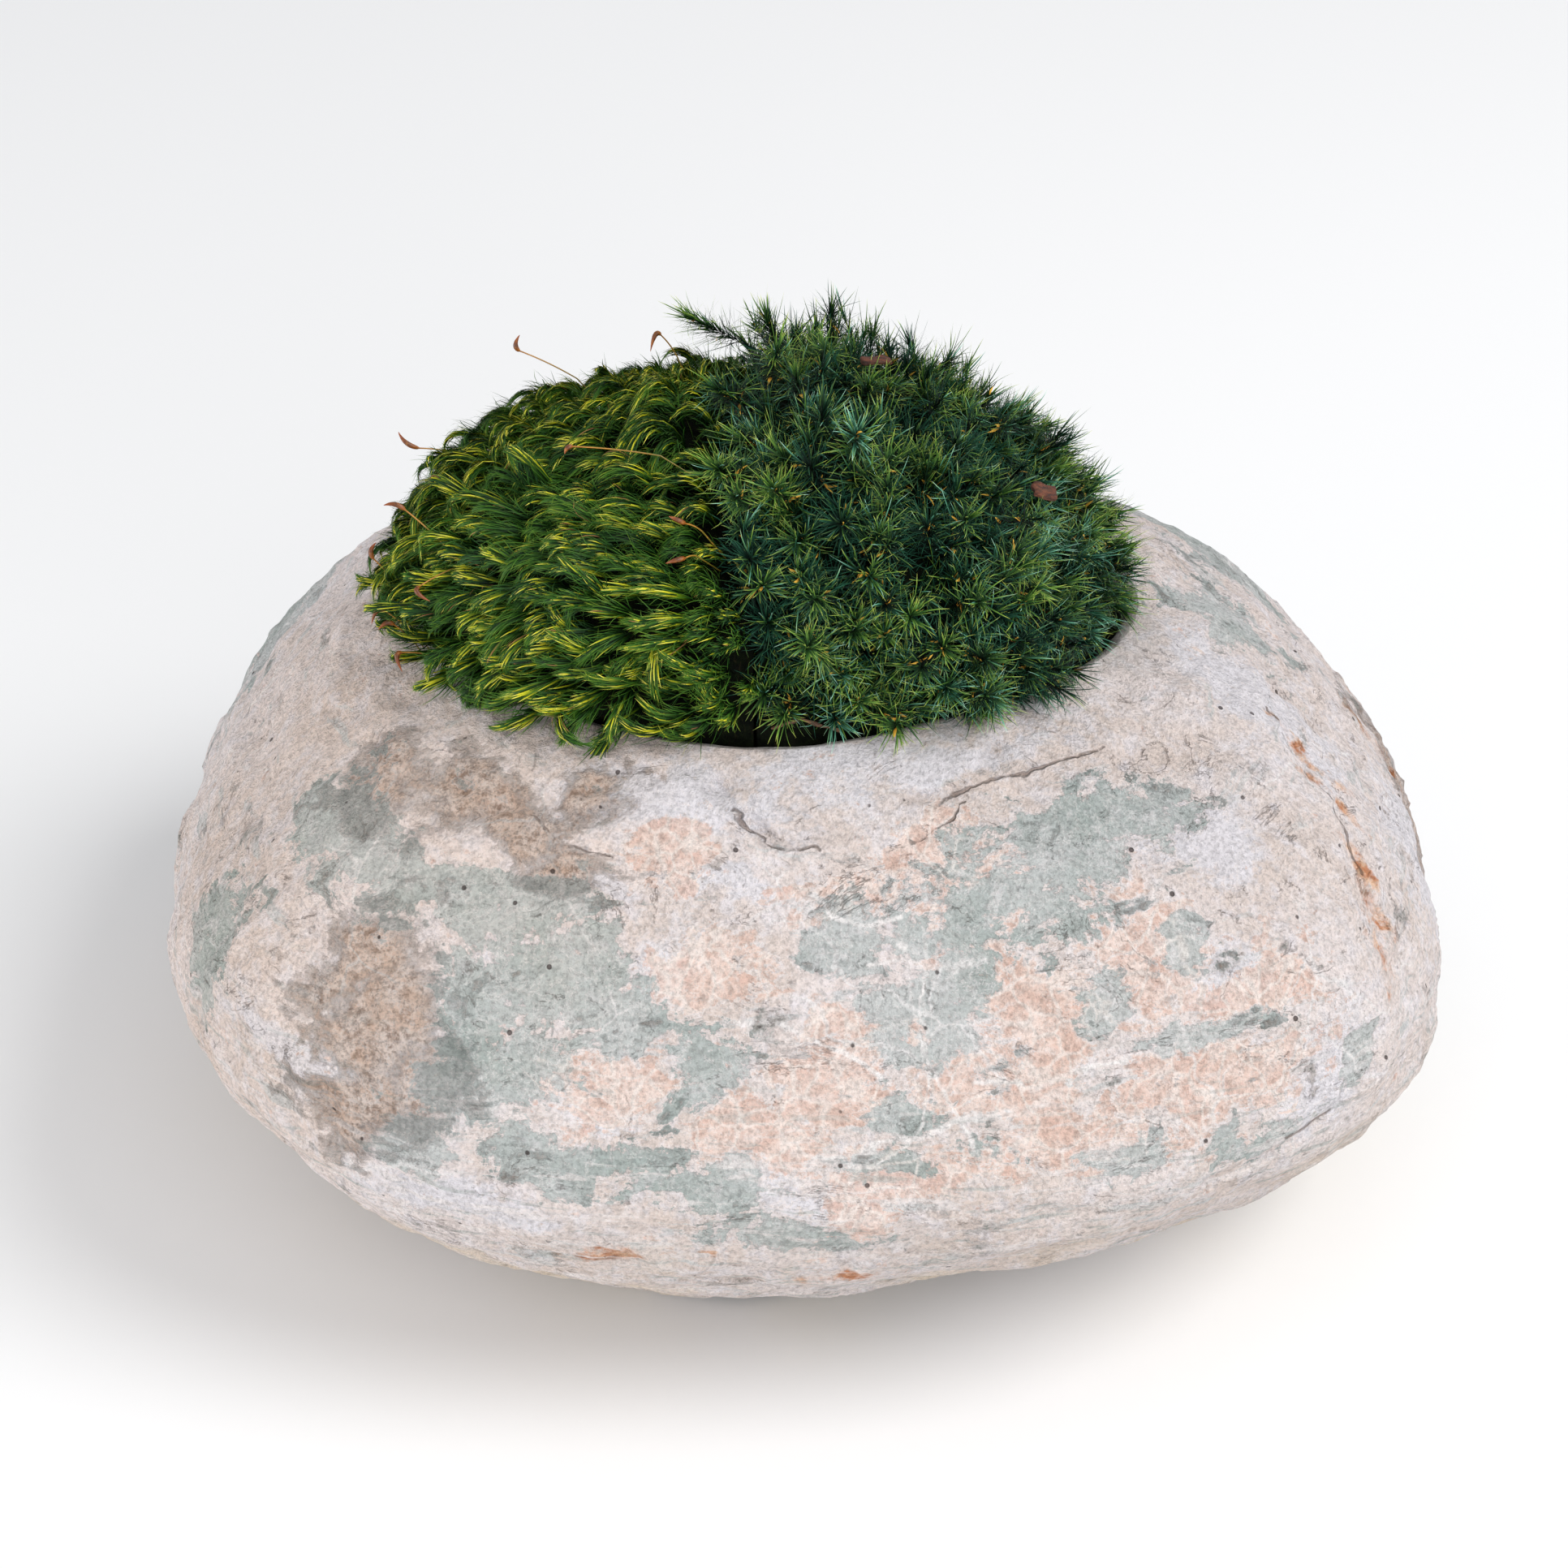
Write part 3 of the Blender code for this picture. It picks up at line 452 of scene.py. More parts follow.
def stroke_relief(directions):
    """Height of the ledges and ridges, in metres."""
    relief = np.zeros(len(directions))
    for width, depth, places in STROKES:
        nearest = np.inf
        path = [aim(*place) for place in places]
        for start, end in zip(path, path[1:]):
            along = np.clip((directions - start) @ (end - start) / np.sum((end - start) ** 2), 0, 1)
            gap = np.linalg.norm(directions - (start + along[:, None] * (end - start)), axis=1)
            nearest = np.minimum(nearest, gap * RELIEF_REACH)
        wobble = 1 + 0.5 * noise(directions, 0.08, 71, 2)
        relief += 1.5 * depth * MM * wobble * np.exp(-((nearest / width) ** 2))
    return relief


def stone_material():
    """Beige and pink stone with ragged grey-green patches, white borders and veins, pits and rust."""
    g = Graph("stone_look")
    place = g.where()
    broad = g.noise(0.030, 6, 0.6, 0.3)
    ragged = g.noise(0.010, 9, 0.70, 0.5)
    middle = g.noise(0.0045, 6, 0.68)
    fine = g.noise(0.0019, 4, 0.70)
    grain = g.noise(0.0009, 5, 0.7)
    strata = g.noise(0.018, 8, 0.66, 0.6, g.where((1.0, 1.0, 5.0)))
    edge = g.plus(g.times(ragged, 2.5), g.times(strata, 1.6))
    edge = g.minus(g.plus(edge, g.times(fine, 0.8)), 2.48)  # about 0 on average; it makes outlines ragged

    def layer(name, reach):
        return g.plus(g.attribute(name), g.times(edge, reach))

    # The body colours, one patch over another
    green, peach, brown = layer("green", 1.0), layer("peach", -1.0), layer("brown", 0.8)
    white, rust = layer("white", -1.0), layer("rust", 0.7)
    sandy = g.shades(broad, 0.35, 0.65, (0.68, 0.575, 0.52), (0.76, 0.675, 0.65))
    g.colour = g.mix(g.scaled(middle, 0.45, 0.66, 0, 0.8), sandy, (0.76, 0.715, 0.735))
    g.paint(g.scaled(strata, 0.56, 0.64, 0, 0.8), (0.56, 0.57, 0.565))
    g.paint(g.scaled(white, 0.35, 0.80, 0, 0.85), (0.735, 0.71, 0.745))
    peach_mask = g.scaled(peach, 0.40, 0.60, 0, 0.8)
    pink = g.shades(middle, 0.36, 0.64, (0.69, 0.46, 0.375), (0.83, 0.67, 0.59))
    g.paint(peach_mask, g.mix(g.scaled(fine, 0.32, 0.50, 0.5, 0), pink, (0.62, 0.42, 0.34)))
    brown_mask = g.scaled(brown, 0.20, 0.75, 0, 0.9)
    tan = g.shades(middle, 0.35, 0.62, (0.78, 0.58, 0.465), (0.90, 0.76, 0.68))
    tan = g.mix(g.scaled(fine, 0.38, 0.50, 0.65, 0), tan, (0.47, 0.295, 0.205))
    g.paint(brown_mask, g.mix(g.scaled(grain, 0.40, 0.50, 0.30, 0), tan, (0.44, 0.28, 0.20)))
    green_mask = g.scaled(green, 0.44, 0.52, 0, 0.92)
    sage = g.shades(broad, 0.35, 0.65, (0.36, 0.415, 0.395), (0.52, 0.54, 0.53))
    g.paint(green_mask, g.mix(g.scaled(middle, 0.52, 0.66, 0, 0.55), sage, (0.67, 0.65, 0.645)))

    # Pale borders round the patches, and pale contours between them
    for field, level, width, share, tint in (
        (green, 0.42, 0.08, 0.75, (0.78, 0.71, 0.69)),
        (peach, 0.42, 0.05, 0.60, (0.79, 0.74, 0.73)),
        (brown, 0.38, 0.07, 0.45, (0.80, 0.74, 0.70)),
        (g.plus(ragged, g.times(middle, 0.3)), 0.66, 0.012, 0.55, (0.80, 0.745, 0.73)),
    ):
        g.paint(g.scaled(g.from_level(field, level), 0.0, width, share, 0.0), tint)

    # Veins, and a net of veinlets in the pink
    drift = g.add("ShaderNodeTexNoise", {"Scale": 60.0, "Detail": 4.0, "Vector": place}).outputs["Color"]
    shifted = g.vector("ADD", place, g.vector("SCALE", drift, scale=0.012))
    way = g.vector("NORMALIZE", g.vector("SUBTRACT", shifted, tuple(CENTRE + 0.006)))
    uneven = g.times(g.minus(middle, 0.54), 0.016)
    vein = g.scaled(g.cells(0.034, "DISTANCE_TO_EDGE", shifted), 0.002, 0.012, 1, 0)
    g.paint(g.times(g.times(vein, g.scaled(broad, 0.48, 0.60)), 0.6), (0.82, 0.79, 0.78))
    faint = g.scaled(ragged, 0.40, 0.55, 0.35, 0.85)
    g.paint(g.times(g.lines(way, uneven, VEINS), faint), (0.87, 0.83, 0.81))
    net = g.scaled(g.cells(0.0062, "DISTANCE_TO_EDGE", shifted), 0.01, 0.09, 0.75, 0)
    g.paint(g.times(net, g.plus(g.times(peach_mask, 0.8), 0.1)), (0.86, 0.79, 0.74))

    # Rust, weathering, a slight painted shade over the upper left side, and the layers round the foot
    worn = g.times(g.scaled(rust, 0.25, 0.90, 0, 0.9), g.scaled(ragged, 0.42, 0.54, 0.15, 1.0))
    g.paint(worn, g.shades(middle, 0.40, 0.60, (0.50, 0.17, 0.05), (0.74, 0.47, 0.30)))
    # Painted shade: the upper left side a little darker and warmer.
    g.paint(g.attribute("shade"), (1.0, 0.96, 0.92), "MULTIPLY")
    lines = g.noise(0.0032, 4, 0.6, 0.5, g.where((0.20, 0.20, 1.6)))
    low = g.attribute("low")
    g.paint(g.times(g.scaled(lines, 0.56, 0.64, 0, 0.7), low), (0.80, 0.74, 0.72))
    g.paint(g.times(g.scaled(lines, 0.34, 0.42, 0.6, 0), low), (0.40, 0.43, 0.41))
    g.paint(g.attribute("warm"), g.mix(middle, (0.58, 0.44, 0.28), (0.84, 0.73, 0.58)))
    g.paint(1.0, g.scaled(fine, 0.30, 0.62, 0.91, 1.05), "MULTIPLY")
    g.paint(1.0, g.scaled(grain, 0.34, 0.58, 0.80, 1.13), "MULTIPLY")

    # Pits and cracks, with painted shade in the pits and inside the mouth, and soiling with painted shade
    # in a ring round it
    pit = g.times(g.scaled(g.cells(0.0075), 0.045, 0.075, 1, 0), g.scaled(broad, 0.46, 0.50))
    # The pits are painted near black: painted shade in the hollows.
    g.paint(g.times(pit, 0.85), (0.07, 0.05, 0.045))
    crack = g.times(g.lines(way, uneven, CRACKS), g.scaled(ragged, 0.40, 0.52, 0.30, 0.95))
    seam = g.from_level(g.noise(0.026, 6, 0.60, 1.4, g.where((1.0, 1.0, 2.2))), 0.5)
    seam = g.times(g.scaled(seam, 0.001, 0.006, 0.50, 0), g.scaled(ragged, 0.50, 0.60))
    crack = g.math("MAXIMUM", crack, seam)
    g.paint(g.times(crack, 0.7), (0.23, 0.155, 0.12))
    # Painted shade all over the inside of the well, the cavity and the rounded lip; soiling and painted
    # shade in a ring round the mouth.
    grime_and_shade = g.times(g.attribute("grime_and_shade"), g.scaled(ragged, 0.25, 0.7, 0.5, 1.0))
    g.paint(grime_and_shade, g.mix(middle, (0.10, 0.095, 0.085), (0.36, 0.345, 0.32)))

    crust = g.times(g.plus(fine, grain), g.plus(g.times(brown_mask, 1.4), 0.75))
    height = g.plus(middle, g.plus(crust, g.times(brown_mask, 0.25)))
    height = g.plus(height, g.times(g.times(lines, low), 0.9))
    height = g.minus(height, g.math("MAXIMUM", g.times(pit, 0.8), crack))
    height = g.minus(height, g.times(green_mask, 0.12))
    return g.finish(g.scaled(grain, 0.3, 0.7, 0.72, 0.95), height, 0.0013, Specular_IOR_Level=0.12)


# --- The boulder ---


def brow(plan):
    """How much higher the stone stands round the front right of the mouth, in metres."""
    away = (plan - WELL) / (WELL_X, WELL_Y)
    turn = np.degrees(np.arctan2(away[:, 1], away[:, 0]))
    rise = np.exp(-(((turn + 58) / 40) ** 2))
    return 2.3 * MM * rise * smooth_step(1.5 - np.linalg.norm(away, axis=1), 0.0, 0.42)


def stone_relief(points, directions):
    """How far the weathered surface stands off the smooth one, in metres."""
    green = patch_field(directions, PATCHES["green"])
    brown = patch_field(directions, PATCHES["brown"])
    relief = 1.2 * MM * noise(points, 0.050, 3, 2)
    relief += 0.85 * MM * noise(points, 0.016, 9, 4)
    steps = noise(points * (1, 1, 1.8), 0.030, 21, 5)
    relief += 0.60 * MM * smooth_step(steps, -0.05, 0.05) - 0.60 * MM * smooth_step(steps, 0.38, 0.46)
    ledges = noise(points * (0.35, 0.35, 1.0), 0.008, 27, 3)
    relief += 0.35 * MM * smooth_step(ledges, 0.18, 0.36) - 0.35 * MM * smooth_step(-ledges, 0.28, 0.46)
    rough = 0.95 * MM * noise(points, 0.0040, 33, 3)
    relief += rough * (0.35 + brown) - 0.3 * MM * smooth_step(green + 0.25 * steps, 0.40, 0.52)
    return relief - 1.2 * MM + stroke_relief(directions)


def boulder():
    """The casting in one skin: weathered outside, open underside, cavity, drain, well and rounded mouth."""
    columns, outer_rows = 496, 160
    turns = np.arange(columns) * 2 * math.pi / columns
    lip_plan = ellipse(WELL_X + LIP, WELL_Y + LIP, turns)
    azimuths = azimuths_of(lip_plan)
    top = on_top(lip_plan)
    foot = polar_where(azimuths, 1.7, math.pi - 0.05, lambda p: p[:, 2] > FOOT_HEIGHT)
    rings, relief_share = [], []
    for row in range(outer_rows + 1):
        rings.append(boulder_points(azimuths, top + (foot - top) * row / outer_rows))
        relief_share.append(min(1.0, 0.35 + row / 12, (outer_rows - row) / 4))

    def level(plan, z, share=0.0):
        rings.append(np.column_stack([plan, np.broadcast_to(z, columns)]))
        relief_share.append(share)

    base_away = rings[-1][:, :2] - CENTRE[:2]
    base_reach = np.linalg.norm(base_away, axis=1, keepdims=True)
    for inward, z in (
        (0.001, FOOT_HEIGHT), (0.0055, FOOT_HEIGHT), (0.006, FOOT_HEIGHT + 0.0005), (0.006, PLATE_LEDGE),
        (0.017, PLATE_LEDGE), (0.017, PLATE_LEDGE + 0.013),
    ):
        level(CENTRE[:2] + base_away * (base_reach - inward) / base_reach, z)
    for share in (0.75, 0.5, 0.25, 0.08):
        rings.append(boulder_points(azimuths, top + (foot - top) * share, WALL))
        relief_share.append(0.0)
    lip_z = rings[0][:, 2]

    def well_plan(z, wider=0.0):
        size = WELL_TAPER + (1 - WELL_TAPER) * (z - WELL_FLOOR) / (lip_z.mean() - WELL_FLOOR)
        return ellipse(WELL_X * size + wider, WELL_Y * size + wider, turns)

    underside = WELL_FLOOR - WELL_WALL - 0.0002
    for z in (0.108, 0.070, underside):
        level(well_plan(z, WELL_WALL), z)
    spout = ellipse(SPOUT_RADIUS, SPOUT_RADIUS, turns)
    drain = ellipse(DRAIN_RADIUS, DRAIN_RADIUS, turns)
    for plan, z in ((spout, underside), (spout, PLATE_LEDGE), (drain, PLATE_LEDGE), (drain, WELL_FLOOR)):
        level(plan, z)
    lining = len(rings) - 1
    level(well_plan(WELL_FLOOR, -WELL_CORNER), WELL_FLOOR)
    for step in range(9):
        z = WELL_FLOOR + WELL_CORNER + (lip_z - LIP - WELL_FLOOR - WELL_CORNER) * step / 9
        level(well_plan(z.mean()), z, 0.4)
    for step in range(8):
        turn = math.pi / 2 * step / 8
        grow = LIP * (1 - math.cos(turn))
        level(ellipse(WELL_X + grow, WELL_Y + grow, turns), lip_z - LIP * (1 - math.sin(turn)), 0.35)
    points = np.concatenate(rings)
    share = np.repeat(relief_share, columns)
    directions = unit(points - CENTRE)
    outward = directions.copy()
    inner_rows = np.arange(len(share)) >= (outer_rows + 1) * columns
    outward[inner_rows, :2] = -unit(points[inner_rows, :2] - WELL)
    outward[inner_rows, 2] = 0.3
    points += (share * stone_relief(points, directions))[:, None] * outward
    points[:, 2] += brow(points[:, :2]) * smooth_step(points[:, 2], 0.106, 0.118)
    # Painted shade: the inside, the cavity and the rounded lip dark all over; soiling and painted shade in
    # a ring round the mouth.
    away = np.linalg.norm((points[:, :2] - WELL) / (WELL_X, WELL_Y), axis=1)
    dirt_and_shade = smooth_step(1.22 + 0.10 * noise(points, 0.02, 5, 2) - away, 0.0, 0.18)
    values = {name: patch_field(directions, spots) for name, spots in PATCHES.items()}
    values["grime_and_shade"] = np.where(inner_rows, 0.9, 0.38 * dirt_and_shade)
    # Painted shade over the upper left side of the stone, by the way the surface faces.
    shade = directions @ aim(-158, 34) + 0.12 * noise(points, 0.025, 55, 4)
    values["shade"] = smooth_step(shade, 0.66, 0.96)
    values["low"] = smooth_step(-directions[:, 2], -0.40, 0.05)
    warm = smooth_step(-directions[:, 2], -0.05, 0.40)
    values["warm"] = 0.7 * warm * smooth_step(noise(points, 0.020, 45, 4), -0.3, 0.5)
    faces = grid_faces(len(rings), columns, close_rows=True)
    first = np.array([ring[0] for ring in rings + rings[:1]])
    steps = np.linalg.norm(np.diff(first, axis=0), axis=1)
    hidden = (np.arange(len(steps)) > outer_rows) & (np.arange(len(steps)) < lining)
    reach = np.concatenate([[0], np.cumsum(np.where(hidden, 0.15, 1.0) * steps)])
    row, column = faces // columns, faces % columns
    wrapped = (column == 0) & (column[:, :1] == columns - 1)
    row = np.where((row == 0) & (row[:, :1] == len(rings) - 1), len(rings), row)
    u = np.where(wrapped, columns, column) / columns
    uv = np.stack([u, reach[row] / reach[-1]], axis=-1).reshape(-1, 2)
    finish = stone_material()
    piece("boulder", finish, "boulder", "cast_stone", points, [faces], uv, values, ("boulder_shell",))


# --- Moss ---

SEAM_X, SEAM_WAVE, SEAM_GAP = -0.0085, 0.004, 0.0003
LIP_Z = 0.1208
SOIL_X, SOIL_Y, SOIL_Z, SOIL_CROWN = 0.0620, 0.0500, 0.1115, 0.036
GAP_X, GAP_HALF, GAP_TOP = -0.0028, 0.0070, 0.1282  # the dark gap at the front
SIDE = {"broom_moss": -1, "dark_moss": 1}
RISE = {"broom_moss": 0.045, "dark_moss": 0.050}
FULLNESS = {"broom_moss": 0.80, "dark_moss": 1.15}
INSET = {"broom_moss": 0.0045, "dark_moss": 0.0045}
# Where the moss stops short of its ellipse, or hangs past it: azimuth, width in degrees, and share lost.
NOTCHES = (
    (-82, 8, 0.085), (-57, 13, -0.080), (-27, 15, 0.085), (5, 30, 0.08), (60, 40, 0.03), (-122, 20, -0.07),
    (-168, 20, -0.03),
)


def mound(sphere, body, inset):
    """Points and normals of a moss's surface, moved in by inset, towards unit vectors from the well."""
    azimuth = np.degrees(np.arctan2(sphere[:, 1], sphere[:, 0]))
    reach = np.ones(len(sphere))
    for centre, width, loss in NOTCHES:
        reach -= loss * np.exp(-((((azimuth - centre + 180) % 360 - 180) / width) ** 2))
    size = np.array([MOSS_X, MOSS_Y]) * reach[:, None] - inset
    foot = WELL + unit(sphere[:, :2]) * size
    foot_z = top_height(foot) + brow(foot) + 0.001
    height = foot_z + (LIP_Z + RISE[body] - inset - foot_z) * sphere[:, 2] ** FULLNESS[body]
    points = np.column_stack([WELL + sphere[:, :2] * size, height])
    normals = unit(sphere / np.column_stack([size, np.full(len(size), RISE[body])]))
    if body == "broom_moss":
        points[:, 2] -= 0.006 * np.exp(-(((points[:, 0] - SEAM_X) / 0.016) ** 2)) * sphere[:, 2]
    swell = 0.0028 * noise(points, 0.021, 12, 2)
    return points + swell[:, None] * normals * np.minimum(1, 3 * sphere[:, 2:]), normals


def tufts(count, seed, body):
    """Evenly spread places on one moss's side of the seam, with the way out of the mound at each."""
    draw = np.random.default_rng(seed)
    index = np.arange(count) + 0.5
    up = index / count
    turn = index * math.pi * (3 - math.sqrt(5))
    out = np.sqrt(1 - up**2)
    even = np.column_stack([out * np.cos(turn), out * np.sin(turn), up])
    sphere = unit(even + draw.normal(0, 0.016, (count, 3)))
    sphere[:, 2] = np.abs(sphere[:, 2])
    points, normals = mound(sphere, body, INSET[body])
    seam = SEAM_X + SEAM_WAVE * np.sin(points[:, 1] * 70.0)
    gap = (np.abs(points[:, 0] - GAP_X) < GAP_HALF) & (points[:, 1] < -0.030) & (points[:, 2] < GAP_TOP)
    keep = ((points[:, 0] - seam) * SIDE[body] > 0) & ~gap
    return points[keep], normals[keep]


def across(vectors, draw):
    """A random unit vector square to each vector."""
    other = draw.normal(0, 1, vectors.shape)
    other -= np.sum(other * vectors, axis=-1, keepdims=True) * vectors
    return unit(other)


def blades(roots, bends, tips, widths, facing, tones, segments=4):
    """Narrow leaves on curves from roots past bends to tips: points, face arrays and UVs.

    In the UVs, U is the leaf's tone and V runs from its root to its tip.
    """
    count = len(roots)
    along = np.linspace(0, 1, segments + 1)
    t = along[None, :, None]
    spine = curve(t, roots[:, None], bends[:, None], tips[:, None])
    tangent = unit(np.gradient(spine, axis=1))
    side = unit(np.cross(tangent, facing[:, None, :]))
    profile = np.minimum(1.0, 0.5 + 2.0 * along) * (1 - along) ** 0.65 + 0.05
    half = (widths[:, None] / 2 * profile)[..., None]
    points = np.stack([spine - side * half, spine + side * half], axis=2)[:, :-1].reshape(count, -1, 3)
    points = np.concatenate([points, spine[:, -1:]], axis=1)
    per_leaf = 2 * segments + 1
    first = (np.arange(count) * per_leaf)[:, None]
    quads = np.array([[2 * k, 2 * k + 1, 2 * k + 3, 2 * k + 2] for k in range(segments - 1)])
    quads = (first[:, :, None] + quads[None]).reshape(-1, 4)
    triangles = first + np.array([2 * segments - 2, 2 * segments - 1, 2 * segments])
    v = 0.01 + 0.98 * np.concatenate([np.repeat(along[:-1], 2), [1.0]])
    offset = np.concatenate([np.tile([-0.008, 0.008], segments), [0.0]])
    uv = np.stack([tones[:, None] + offset, np.broadcast_to(v, (count, per_leaf))], axis=-1)
    return points.reshape(-1, 3), [quads, triangles], uv.reshape(-1, 2)


def leaf_material(name, looks, dead):
    """Leaves from dark roots to light tips: the near-black roots are painted shade down in the moss, and
    the brightest tips partly painted highlights. looks: tones between which each set of colours comes in.
    """
    g = Graph(name)
    spot = g.uv()
    tone, along, _ = g.split(spot)
    streak = g.noise(0.012, 3, 0.6, 0.0, g.vector("MULTIPLY", spot, (1.0, 0.08, 1.0)))
    # Each look goes near black at the root, as painted shade, and brightest at the tip, partly as painted
    # highlight.
    for low, high, *colours in looks:
        g.paint(g.scaled(tone, low, high), g.ramp(along, *zip((0.0, 0.35, 0.72, 1.0), colours)))
    g.paint(g.scaled(streak, 0.3, 0.7, 0.0, 0.35), (1.0, 1.0, 0.7), "SOFT_LIGHT")
    g.paint(g.scaled(tone, 0.93, 0.95), g.mix(along, *dead))
    return g.finish(g.scaled(streak, 0.3, 0.7, 0.45, 0.65), Specular_IOR_Level=0.16)


def spread(values, each):
    """Each tuft's value once for every one of its leaves."""
    return np.repeat(values, each, axis=0)


def broom_leaves(part, finish):
    """Half of the broom moss's leaves: hooked shoots with gold upper sides, partly painted highlights,
    combed to the left and down.
    """
    draw = np.random.default_rng(5)
    bases, normals = tufts(1120, 1, "broom_moss")
    count = len(bases)
    drift = noise_vectors(bases, 0.020, 51, 52, 53)
    flow = np.array([-1.0, -0.30, -0.05]) + 0.60 * drift + draw.normal(0, 0.30, bases.shape)
    flow = unit(flow - 0.62 * np.sum(flow * normals, axis=-1, keepdims=True) * normals)
    reach = draw.uniform(0.75, 1.25, (count, 1)) * MM
    near_seam = smooth_step(bases[:, 0], SEAM_X - 0.014, SEAM_X)[:, None]
    run = 11.5 - 8.0 * near_seam
    controls = (
        bases - 3.5 * MM * normals,
        bases + (normals * draw.uniform(4.5, 7.0, (count, 1)) + flow * 0.8) * reach,
        bases + (normals * draw.uniform(5.0, 8.0, (count, 1)) + flow * (7.0 - 5.0 * near_seam)) * reach,
        bases + (normals * (draw.uniform(-1.5, 2.5, (count, 1)) + 3 * near_seam) + flow * run) * reach,
    )
    shoot_tone = 0.20 + 0.12 * noise(bases, 0.014, 61, 2) + draw.normal(0, 0.08, count)
    # Share of each shoot's leaves that turn gold, partly as painted highlight: fewer near the seam, more
    # towards the back.
    golden_highlit_share = draw.uniform(0.12, 0.50, count) * (1 - 0.6 * near_seam[:, 0])
    golden_highlit_share *= (draw.uniform(size=count) < 0.8) * (0.85 + 0.45 * smooth_step(bases[:, 1], -0.010, 0.030))
    draw = np.random.default_rng(50 + part)
    each = 54
    total = count * each
    start = draw.uniform(0.0, 0.66, (total, 1))
    golden_highlit = draw.uniform(size=(total, 1)) < spread(golden_highlit_share, each)[:, None] * (start < 0.52)
    end = np.minimum(start + draw.uniform(0.26, 0.46, (total, 1)) + 0.16 * golden_highlit, 1.04)
    points = [spread(control, each) for control in controls]
    up = spread(normals, each)
    radial = across(unit(points[3] - points[0]), draw)
    loose = draw.normal(0, 1, (total, 3)) * draw.uniform(0.2, 1.6, (total, 1)) ** 2
    stray = draw.uniform(0.5, 1.0, (total, 1)) + 1.2 * ~golden_highlit * draw.uniform(size=(total, 1)) ** 4

    def shoot(t, out):
        spine = points[0] * (1 - t) ** 3 + points[1] * 3 * t * (1 - t) ** 2 + points[2] * 3 * t**2 * (1 - t)
        return spine + points[3] * t**3 + radial * out * MM

    root = shoot(start, 0.4)
    middle = shoot((start + end) / 2, 2.4 * stray * (1.15 - end))
    tips = shoot(end, 3.4 * stray * (1.15 - end)) + 0.9 * MM * loose * (1.3 - end) * (1 - 0.6 * golden_highlit)
    bend = 2 * middle - (root + tips) / 2
    # Only leaves on a shoot's upper side stay gold: painted highlights where light falls.
    golden_highlit = golden_highlit[:, 0] & (np.sum(radial * up, axis=-1) + 0.3 * draw.normal(0, 1, total) > -0.3)
    width = np.where(golden_highlit, draw.uniform(0.34, 0.58, total), draw.uniform(0.20, 0.34, total)) * MM
    tone = spread(shoot_tone, each) + draw.normal(0, 0.08, total) + 0.10 * end[:, 0]
    tone = np.clip(np.where(golden_highlit, draw.uniform(0.55, 0.90, total), tone), 0.02, 0.9)
    tone[draw.uniform(size=total) < 0.006] = 0.97
    shape = blades(root, bend, tips, width, unit(up + 0.6 * radial), tone)
    piece(f"broom_moss_leaves_{part}", finish, "broom_moss", "broom_moss", *shape)


# Long sprigs of the dark moss: root in plan and length in mm, then the way they point.
SPRIGS = (
    (5, 22, 11, (0.05, 0.1, 1.0)),
    (-9, 16, 20, (-0.88, 0.1, 0.42)),
    (-7, 20, 9, (-0.30, 0.1, 0.9)),
    (15, 24, 8, (0.15, 0.2, 0.9)),
    (24, 20, 8, (0.60, 0.1, 0.70)),
    (43, 12, 7, (0.60, 0.2, 0.70)),
    (-12, -2, 9, (-0.70, -0.2, 0.60)),
    (-10, -20, 9, (-0.55, -0.5, 0.60)),
    (18, -52, 8, (-0.10, -0.9, -0.10)),
)


